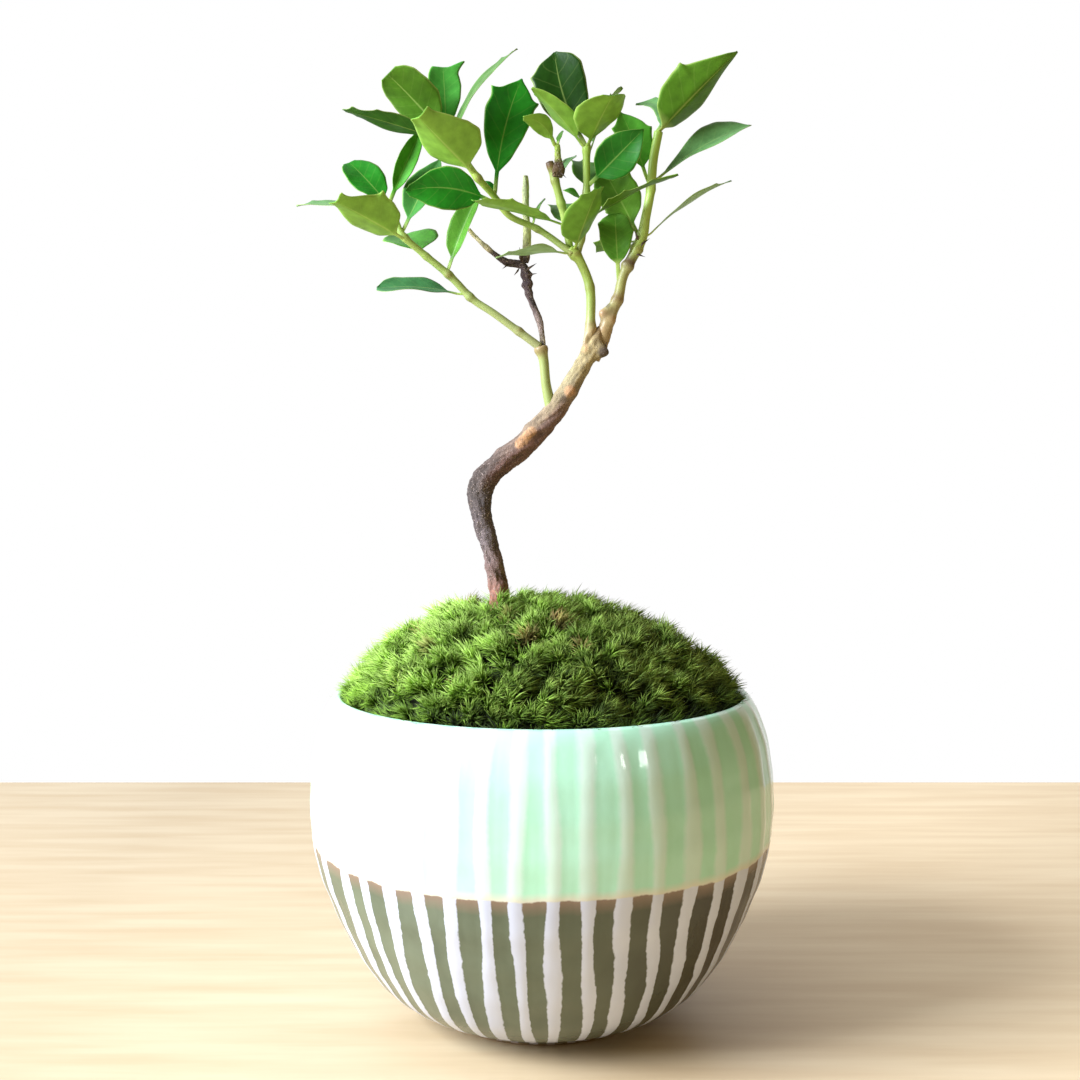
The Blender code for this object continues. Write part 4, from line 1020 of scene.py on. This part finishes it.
# Each kind's material, slot and points round the stem, and in mm the step between its rings
# and how deep its relief is.
OLD_WOOD = (bark, "bark", 64, 0.25, 0.30)
KNOB_WOOD = (bark, "bark", 24, 0.2, 0.18)
DEAD_WOOD = (dead_wood, "dead_wood", 24, 0.3, 0.16)
GREEN_WOOD = (green_bark, "green_stem", 24, 0.35, 0.008)
grow_stem("trunk", TRUNK, *OLD_WOOD)
for name, points in STEMS.items():
    if name.startswith("dead"):
        grow_stem(name, points, *DEAD_WOOD)
    else:
        grow_stem(name, points, *(KNOB_WOOD if name == "knob_twig" else GREEN_WOOD))
print("stems:", list(routes))

# %% [markdown]
# ## Leaves
# A holly leaf is leathery, folded up along its midrib, and drawn out into stiff spines. Each one
# is a closed shell over a grid: one parameter runs from stalk to tip and the other from edge to
# edge. The outline says how wide each row is, and spines push the edge out and forward at their
# own places. The place, the direction and the fold are close to those of the leaf's solid.

# %% leaf table
# Outlines as (part of the length, part of the half width).
OVAL = ((0.0, 0.0), (0.10, 0.0), (0.24, 0.66), (0.40, 0.96), (0.56, 1.0), (0.74, 0.80),
        (0.90, 0.38), (1.0, 0.0))
OBOVATE = ((0.0, 0.0), (0.14, 0.0), (0.28, 0.48), (0.46, 0.80), (0.66, 1.0), (0.80, 0.86),
           (0.90, 0.50), (1.0, 0.0))
BLUNT = ((0.0, 0.0), (0.08, 0.0), (0.20, 0.60), (0.40, 0.94), (0.62, 1.0), (0.82, 0.90),
         (0.94, 0.66), (1.0, 0.36))
BROAD = ((0.0, 0.0), (0.05, 0.0), (0.15, 0.75), (0.33, 1.0), (0.54, 0.95), (0.74, 0.70),
         (0.92, 0.40), (1.0, 0.24))
DRAWN_OUT = ((0.0, 0.0), (0.03, 0.05), (0.11, 0.62), (0.26, 0.95), (0.45, 1.0), (0.62, 0.76),
             (0.80, 0.46), (0.93, 0.22), (1.0, 0.03))
# Outlines of single leaves: an egg with a blunt point, one cut straight across, a strap, a spoon.
EGG = ((0.0, 0.0), (0.10, 0.0), (0.22, 0.52), (0.42, 0.88), (0.62, 1.0), (0.80, 0.97),
       (0.92, 0.64), (1.0, 0.0))
CUT = ((0.0, 0.0), (0.08, 0.0), (0.22, 0.55), (0.45, 0.90), (0.68, 1.0), (0.85, 0.92),
       (0.97, 0.76), (1.0, 0.62))
STRAP = ((0.0, 0.05), (0.03, 0.10), (0.12, 0.46), (0.30, 0.82), (0.50, 1.0), (0.75, 1.0),
         (0.92, 0.80), (1.0, 0.30))
SPOON = ((0.0, 0.0), (0.05, 0.05), (0.20, 0.30), (0.40, 0.62), (0.60, 0.94), (0.76, 1.0),
         (0.90, 0.66), (1.0, 0.04))
# Colours of the upper and the under skin, from the oldest leaves to the youngest. The brightest
# young colours also hold painted light: the glow of a thin leaf lit from behind.
DEEP = ("#20741A", "#56802E")
DARK = ("#24521A", "#356522")
OLIVE = ("#467A22", "#4A761C")
FRESH_GREEN = ("#4C942E", "#7CAA42")
BRIGHT = ("#48962A", "#6CA03A")
GREYISH = ("#5C8A50", "#86AC74")
# Spines are (side, part of the length, length in mm); side is +1 on the leaf's right.
# name: (stem, how far along it, reach to the tip in mm, way the upper side looks, width, fold,
#        bend to the right and out of the upper side in mm, outline, skin, spines)
LEAVES = {
    "leaf_far_left_upright": ("left_crown_twig", 1.0, (-10.6, -4, 10.6), (0.3, 0.8, 0.5), 10.2,
        0.25, (0, 0.6), BLUNT, OLIVE, ()),
    "leaf_left_top_glossy": ("left_crown_twig", 0.975, (-0.9, 4, 14.6), (0.15, -0.92, 0.35), 6.8,
        0.2, (0, 0.5), CUT, ("#428E34", "#5C923A"), ((1, 0.99, 2.4),)),
    "leaf_left_top_edge_on": ("left_crown_twig", 0.945, (13.4, -1.5, 17.4), (-0.7, -0.4, 0.55), 5.2,
        0.1, (0, 1.9), DRAWN_OUT, ("#4C7238", "#7C9858"),
        ((1, 0.72, 0.5), (-1, 0.84, 0.6), (-1, 0.95, 0.5))),
    "leaf_left_long": ("left_crown_twig", 0.93, (-20.8, -5, 5.2), (0.17, 0.28, 0.95), 6.8, 0.1,
        (0, 0.3), OVAL, DARK, ((1, 0.84, 0.7), (1, 0.94, 0.9), (-1, 0.90, 0.9), (-1, 0.68, 0.5))),
    "leaf_left_front": ("left_crown_twig", 0.69, (-10.4, -11.2, 8.9), (0.1, 0.59, 0.8), 12.4, 0.55,
        (0, 0), BROAD, FRESH_GREEN, ((1, 0.98, 0.4), (-1, 0.99, 0.9))),
    "leaf_big_glossy": ("left_crown_twig", 0.53, (5.5, 5, 24.3), (0.11, -0.98, 0.18), 10, 0.2,
        (-1.0, 0.4), OBOVATE, DEEP, ((-1, 0.82, 1.3), (1, 0.78, 1.1))),
    "leaf_left_dark": ("left_crown_twig", 0.49, (-18.1, -3.2, 1.5), (0.19, -0.96, -0.19), 8.6, 0.2,
        (1.5, 0.4), OVAL, DEEP, ((1, 0.96, 0.4), (-1, 0.94, 0.4))),
    "leaf_bud_dark": ("left_crown_twig", 0.50, (-3.3, 2.2, 4.2), (0.3, -0.6, 0.7), 3.2, 0.4,
        (0, 0.3), OVAL, DEEP, ()),
    "leaf_bud_behind": ("left_crown_twig", 0.24, (2.7, 4.5, 6.3), (-0.7, -0.3, 0.5), 2.6, 0.3,
        (0, 0.3), OVAL, OLIVE, ()),
    "leaf_toothed_front": ("cut_shoot", 0.24, (-18.6, -12, 3.0), (0.06, 0.17, 0.98), 6.0, 0.15,
        (0, 0.4), OVAL, FRESH_GREEN,
        ((-1, 0.36, 0.7), (-1, 0.64, 0.8), (1, 0.50, 0.7), (1, 0.80, 0.7), (-1, 0.88, 0.7))),
    "leaf_low_left_front": ("left_twig", 0.77, (-13.2, -9, 6.4), (0, 0.58, 0.81), 10.4, 0.45,
        (0, 0.2), BROAD, FRESH_GREEN, ((-1, 0.50, 1.2), (-1, 0.98, 0.8), (1, 0.99, 1.0))),
    "leaf_low_left_edge_on": ("left_twig", 0.90, (-20.6, 4, 3.4), (0.1, -0.32, 0.95), 5.6, 0.15,
        (0, 1.4), OVAL, GREYISH, ((1, 0.85, 0.8), (-1, 0.80, 0.8), (-1, 0.52, 0.6))),
    "leaf_low_left_round": ("left_twig", 0.98, (-8.9, 5.3, 9.9), (0.13, -0.82, 0.56), 7.4, 0.25,
        (0, 0.4), BLUNT, DEEP, ()),
    "leaf_low_left_upright": ("left_twig", 1.0, (6.7, 4, 16.2), (0.24, -0.96, 0.14), 4.0, 0.85,
        (-0.2, 0.3), OVAL, BRIGHT, ()),
    "leaf_low_left_inner": ("left_twig", 0.82, (7.3, 8.6, 16.6), (-0.23, -0.87, 0.43), 7.0, 0.45,
        (0, 0.3), OVAL, ("#3C7A34", "#6A9850"), ((1, 0.70, 0.5),)),
    "leaf_low_left_back": ("left_twig", 0.67, (-6, 10, 5.6), (0, -0.45, 0.88), 12, 0.2, (0, 0.6),
        OVAL, FRESH_GREEN, ((1, 0.90, 0.5),)),
    "leaf_twig_folded": ("left_twig", 0.54, (6.6, 2.5, 16.6), (-0.5, -0.8, 0.2), 5.6, 0.7, (0, 0.4),
        OVAL, ("#50882A", "#72983A"), ()),
    "leaf_lowest": ("left_twig", 0.40, (-18.2, -2, 0.9), (0, -0.5, 0.87), 7.4, 0.3, (0, 0.8), EGG,
        ("#3A6E40", "#6E9658"), ()),
    "leaf_pale_below": ("centre_stem", 0.95, (-15.5, -7.2, -2.1), (-0.1, 0.12, 0.98), 6.6, 0.1,
        (0, 1.0), OVAL, GREYISH, ((1, 0.75, 0.7), (-1, 0.85, 0.7))),
    "leaf_bright_front": ("centre_stem", 0.95, (4.5, -11.4, 10.7), (-0.53, 0.5, 0.69), 9.1, 0.45,
        (0, 0.2), BROAD, BRIGHT, ((1, 0.86, 0.8), (-1, 0.90, 0.9))),
    "leaf_behind_shoot": ("crown_stem", 0.12, (-4.5, 10.5, 8), (0, -0.6, 0.8), 8, 0.3, (0, 0.6),
        OVAL, OLIVE, ((1, 0.80, 0.8), (-1, 0.78, 0.8))),
    "leaf_spiny_edge_on": ("crown_stem", 0.26, (17.6, -12.9, 6.7), (-0.36, 0.07, 0.93), 5.4, 0.15,
        (0, 0.8), OVAL, OLIVE,
        ((1, 0.30, 0.9), (1, 0.50, 1.0), (1, 0.78, 0.8), (-1, 0.34, 1.0), (-1, 0.62, 1.0),
         (-1, 0.86, 0.8))),
    "leaf_crown_right_glossy": ("crown_stem", 0.58, (11.0, -6.5, 10.2), (0.02, -0.98, -0.12), 8.3,
        0.35, (0, 0.4), OVAL, ("#22661A", "#56842E"), ()),
    "leaf_crown_tiny": ("crown_stem", 0.44, (-4.7, -2.2, 2.0), (0.4, -0.65, 0.65), 2.4, 0.3,
        (0, 0.5), OVAL, FRESH_GREEN, ()),
    "leaf_crown_back": ("crown_stem", 0.53, (-0.6, 9.5, 8.5), (0.1, -0.6, 0.8), 5.4, 0.3, (0, 0.5),
        OVAL, OLIVE, ((1, 0.80, 0.8), (-1, 0.78, 0.8))),
    "leaf_top_dark": ("crown_stem", 0.95, (-6.4, 4, 20.4), (-0.04, -0.99, 0.02), 10.8, 0.2,
        (-1.1, 0.5), EGG, ("#1A3C0C", "#356522"), ((-1, 0.78, 0.5),)),
    "leaf_top_olive": ("crown_stem", 0.95, (-11, -9, 10.0), (0.45, 0.41, 0.8), 6.4, 0.35, (0, 0.6),
        OVAL, FRESH_GREEN, ((1, 0.84, 0.5),)),
    "leaf_top_pale": ("crown_stem", 0.97, (4.6, -12, 7.3), (-0.32, 0.4, 0.86), 10.4, 0.35, (0, 0.3),
        BLUNT, FRESH_GREEN, ()),
    "leaf_top_edge_on": ("crown_stem", 0.88, (7.6, 8.5, 16), (-0.6, 0.1, 0.75), 8, 0.4, (0, 0.5),
        OVAL, FRESH_GREEN, ((1, 0.60, 0.8), (-1, 0.75, 0.8), (-1, 0.90, 0.7))),
    "leaf_knob_olive": ("knob_twig", 0.95, (-6.7, -6, 4.5), (-0.33, 0.75, 0.57), 3.9, 0.4,
        (-1.2, 0.4), OVAL, FRESH_GREEN, ((1, 0.88, 0.4),)),
    "leaf_knob_tip": ("knob_twig", 1.0, (1.2, 2.4, 3.3), (-0.5, -0.5, 0.3), 1.6, 0.3, (0, 0.2),
        OVAL, OLIVE, ()),
    "leaf_cut_shoot_thin": ("cut_shoot", 0.78, (4.4, 4.2, 5.8), (-0.6, -0.5, 0.5), 3.5, 0.4,
        (0, 0.3), OVAL, GREYISH, ()),
    "leaf_right_long": ("right_stem", 0.235, (-1.0, -0.4, 15.8), (-0.11, -0.97, -0.05), 6.6, 0.2,
        (0, 0.4), STRAP, OLIVE, ((1, 0.62, 0.5), (-1, 0.80, 0.5))),
    "leaf_right_back": ("right_stem", 0.50, (-7.8, 8.5, 16.6), (-0.04, -0.93, 0.36), 9.2, 0.25,
        (0, 0.4), OVAL, ("#527E26", "#4A761C"), ((-1, 0.30, 0.8), (1, 0.70, 0.5), (-1, 0.84, 0.5))),
    "leaf_right_curved": ("right_stem", 0.50, (18.6, 3, 12.4), (-0.58, 0.05, 0.81), 5.2, 0.12,
        (0, 1.1), OVAL, GREYISH, ((1, 0.80, 0.6), (-1, 0.86, 0.6))),
    "leaf_right_behind": ("right_stem", 0.5, (-8.5, 13.5, -0.6), (0, 0.2, 1), 6, 0.3, (0, 0.4),
        OVAL, OLIVE, ((1, 0.80, 0.8), (-1, 0.78, 0.8))),
    "leaf_right_glossy": ("right_stem", 0.77, (20.4, 3, 11.9), (-0.38, -0.64, 0.66), 8.2, 0.5,
        (-0.6, 0.9), SPOON, GREYISH, ()),
    "leaf_right_inner": ("right_stem", 0.74, (-6, 4, 16.2), (0.2, -0.8, 0.5), 8, 0.3, (0, 0.5),
        OVAL, FRESH_GREEN, ((1, 0.60, 0.8), (-1, 0.70, 0.8))),
    "leaf_top_right_big": ("right_stem", 1.0, (15.3, -3, 15.1), (-0.39, 0.74, 0.54), 10.6, 0.7,
        (0, 0.2), DRAWN_OUT, OLIVE, ((1, 0.52, 1.0),)),
    "leaf_top_right_back": ("right_stem", 0.98, (-3.8, 9.5, 8.6), (-0.31, -0.72, 0.63), 4.8, 0.2,
        (4.4, 0.4), OVAL, GREYISH, ((-1, 0.70, 0.8), (1, 0.85, 0.7))),
}
print(len(LEAVES), "leaves")

# %% [markdown]
# ### Leaf skin
# The upper skin is a waxy deep green, a little glossier than the yellow-green underside.
# Each leaf keeps the two colours of its age on its points; in the brightest young ones these
# also hold painted light, the glow of a leaf lit from behind. The midrib and a hair-thin margin
# are pale, and faint side veins run out and forward. The UV map lays the leaf flat: U is the
# place across, from -1 to 1, and V the place along it, so veins and margin are drawn from it.

# %% leaf material
leaf_skin, tree, shader, spot = new_material("holly_leaf_skin")
flat = add(tree, "UVMap", uv_map="surface")["UV"]
axes = add(tree, "SeparateXYZ", {0: flat})
upper = add(tree, "Attribute", attribute_name="upper")["Fac"]
skin = add(tree, "Attribute", attribute_name="skin")["Color"]
# Mottling about 2 mm across.
mottle = add(tree, "TexNoise", {"Vector": spot, "Scale": 450.0, "Detail": 4.0})["Fac"]
mottle = add(tree, "MapRange", {"Value": mottle, "From Min": 0.3, "From Max": 0.7,
                                "To Min": 0.82, "To Max": 1.2})[0]
skin = add(tree, "Mix", {0: 1.0, 6: skin, 7: mottle}, data_type="RGBA", blend_type="MULTIPLY")[2]
# Distance from the midrib: 0 on it, 1 at the edge. The rib tapers to the tip.
across = add(tree, "Math", {0: axes["X"]}, operation="ABSOLUTE")[0]
taper = add(tree, "Math", {0: 1.15, 1: axes["Y"]}, operation="SUBTRACT")[0]
from_rib = add(tree, "Math", {0: across, 1: taper}, operation="DIVIDE")[0]
rib = add(tree, "MapRange", {"Value": from_rib, "From Min": 0.075, "From Max": 0.015,
                             "To Max": 0.42})[0]
fainter = add(tree, "Math", {0: upper, 1: -0.4, 2: 1.0}, operation="MULTIPLY_ADD")[0]
rib = add(tree, "Math", {0: rib, 1: fainter}, operation="MULTIPLY")[0]
# The stalk and the foot of the blade are as pale as the stem.
foot = add(tree, "MapRange", {"Value": axes["Y"], "From Min": 0.13, "From Max": 0.0,
                              "To Max": 0.8})[0]
margin = add(tree, "MapRange", {"Value": across, "From Min": 0.93, "From Max": 0.985,
                                "To Max": 0.45})[0]
slant = add(tree, "Math", {0: across, 1: -0.20, 2: axes["Y"]}, operation="MULTIPLY_ADD")[0]
bent = add(tree, "Math", {0: mottle, 1: 0.03, 2: slant}, operation="MULTIPLY_ADD")[0]
waves = add(tree, "Math", {0: bent, 1: 42.0}, operation="MULTIPLY")[0]
waves = add(tree, "Math", {0: waves}, operation="SINE")[0]
veins = add(tree, "MapRange", {"Value": waves, "From Min": 0.93, "From Max": 1.0,
                               "To Max": 0.05})[0]
lines = add(tree, "Math", {0: rib, 1: margin}, operation="MAXIMUM")[0]
lines = add(tree, "Math", {0: lines, 1: veins}, operation="MAXIMUM")[0]
lines = add(tree, "Math", {0: lines, 1: foot}, operation="MAXIMUM")[0]
skin = add(tree, "Mix", {0: lines, 6: skin, 7: linear("#B4CC70")}, data_type="RGBA")[2]
gloss = add(tree, "Mix", {0: upper, 2: 0.5, 3: 0.4})[0]
dents = add(tree, "TexNoise", {"Vector": spot, "Scale": 700.0, "Detail": 2.0})["Fac"]
relief = add(tree, "Math", {0: veins, 1: dents}, operation="SUBTRACT")[0]
relief = add(tree, "Bump", {"Height": relief, "Strength": 0.25, "Distance": 0.0002})[0]
plug(tree, shader, {"Base Color": skin, "Roughness": gloss, "Normal": relief, "IOR": 1.4,
                    "Specular IOR Level": 0.2})
print("leaf skin:", leaf_skin.name)

# %% leaf surface
ROWS, COLUMNS = 60, 15
STALK_HALF = 0.42 * MM
BLADE_THICK, RIB_THICK, STALK_THICK = 0.16 * MM, 0.10 * MM, 0.36 * MM
SPINE_FOOT = 2.0 * MM          # half of the length of edge that a spine rises from
SPINE_HOLLOW = 2.8             # the power that makes its flanks hollow


def place_along(route, share):
    """The point at this share of a route's length."""
    run = run_along(route)
    return np.array([np.interp(share * run[-1], run, route[:, axis]) for axis in range(3)])


def grow_leaf(name, seed, stem, share, reach, facing, width, fold, bend, outline, skin, spines):
    """One leaf. In its own frame a place is (s * half width, along, lift), with s from -1 to 1
    across and t from 0 to 1 along the blade. The lift is the fold times the distance from the
    midrib, plus a bend of 4t(1 - t), plus a slow wave that is strongest at the edge. Returns how
    far in mm it stands out of the box of its solid."""
    joint = place_along(routes[stem], share)
    reach = np.array(reach, float) * MM
    ahead = unit(reach)
    up = np.array(facing, float)
    up = unit(up - up @ ahead * ahead)
    side = np.cross(ahead, up)
    begun = max(np.min((solid_points(name) - joint) @ ahead), 0.4 * MM)
    length = np.linalg.norm(reach) - begun
    t = np.linspace(-begun / length, 1.0, ROWS)[:, None]
    s = np.linspace(-1, 1, COLUMNS)[None, :]
    shares = np.interp(t[:, 0], *np.transpose(outline))
    soft = np.convolve(np.pad(shares, 2, mode="edge"), (0.1, 0.2, 0.4, 0.2, 0.1), "valid")[:, None]
    half = np.maximum(soft * width * MM / 2, STALK_HALF * (1 - 0.75 * ease(t, 0.85, 1.0)))
    bulge = np.where(t > 0, 4 * t * (1 - t), 0.0)
    wave = 0.35 * MM * np.sin(9 * t + seed * 1.7 + 1.2 * np.sign(s)) * s ** 2 * ease(t, 0.1, 0.4)
    lift = (fold * np.maximum(half - STALK_HALF, 0) * (np.sqrt(s ** 2 + 0.01) - 0.1)
            + bend[1] * MM * bulge + wave * min(1.0, width / 8))
    x = s * half + bend[0] * MM * bulge
    y = begun + t * length + 0 * s
    for spine_side, place, long in spines:
        # A spine is a peak with hollow flanks on one edge, pulled towards the tip.
        peak = np.maximum(1 - np.abs(t - place) * length / SPINE_FOOT, 0) ** SPINE_HOLLOW
        edge = peak * ease(spine_side * s, 0.45, 1.0)
        x = x + spine_side * edge * long * MM
        y = y + 0.6 * edge * long * MM
        lift = lift + 0.25 * edge * long * MM
    # The blade is thicker on its midrib, and the stalk is round.
    thick = BLADE_THICK + RIB_THICK * np.exp(-(s / 0.12) ** 2) * ease(1 - t, 0.0, 0.5)
    stalk = 1 - ease(t, 0.02, 0.16)
    thick = thick * (1 - stalk) + STALK_THICK * stalk * np.sqrt(np.maximum(1 - s ** 2, 0.05))
    thick = thick * np.where(np.abs(s) > 0.99, 0.25, 1.0)
    # The upper skin is nearer to the middle sheet than the under skin, where the rib stands out.
    layers = [joint + x[..., None] * side + y[..., None] * ahead
              + (lift + part * thick)[..., None] * up for part in (0.35, -0.65)]
    points = np.concatenate([layer.reshape(-1, 3) for layer in layers])
    count = ROWS * COLUMNS
    top = quads(ROWS, COLUMNS)
    rim = border(ROWS, COLUMNS)
    after = np.roll(rim, -1)
    wall = np.stack([rim, rim + count, after + count, after], -1)
    faces = [top, top[:, ::-1] + count, wall]
    flat = np.stack([s + 0 * t, t + 0 * s], -1).reshape(-1, 2)
    corners = np.concatenate([f.ravel() for f in faces])
    make_piece(name + "_blade", points, faces, leaf_skin, name,
               {"upper": np.repeat((1.0, 0.0), count),
                "skin": np.repeat([linear(colour) for colour in skin], count, axis=0)},
               flat[corners % count])
    low, high = (np.array(corner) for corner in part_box(name))
    return float(np.max(np.maximum(low - points.min(axis=0), points.max(axis=0) - high))) / MM


outside_box = {name: round(grow_leaf(name, seed, *row), 1)
               for seed, (name, row) in enumerate(LEAVES.items())}
print("furthest outside its solid's box, in mm:",
      sorted(outside_box.items(), key=lambda item: -item[1])[:6])
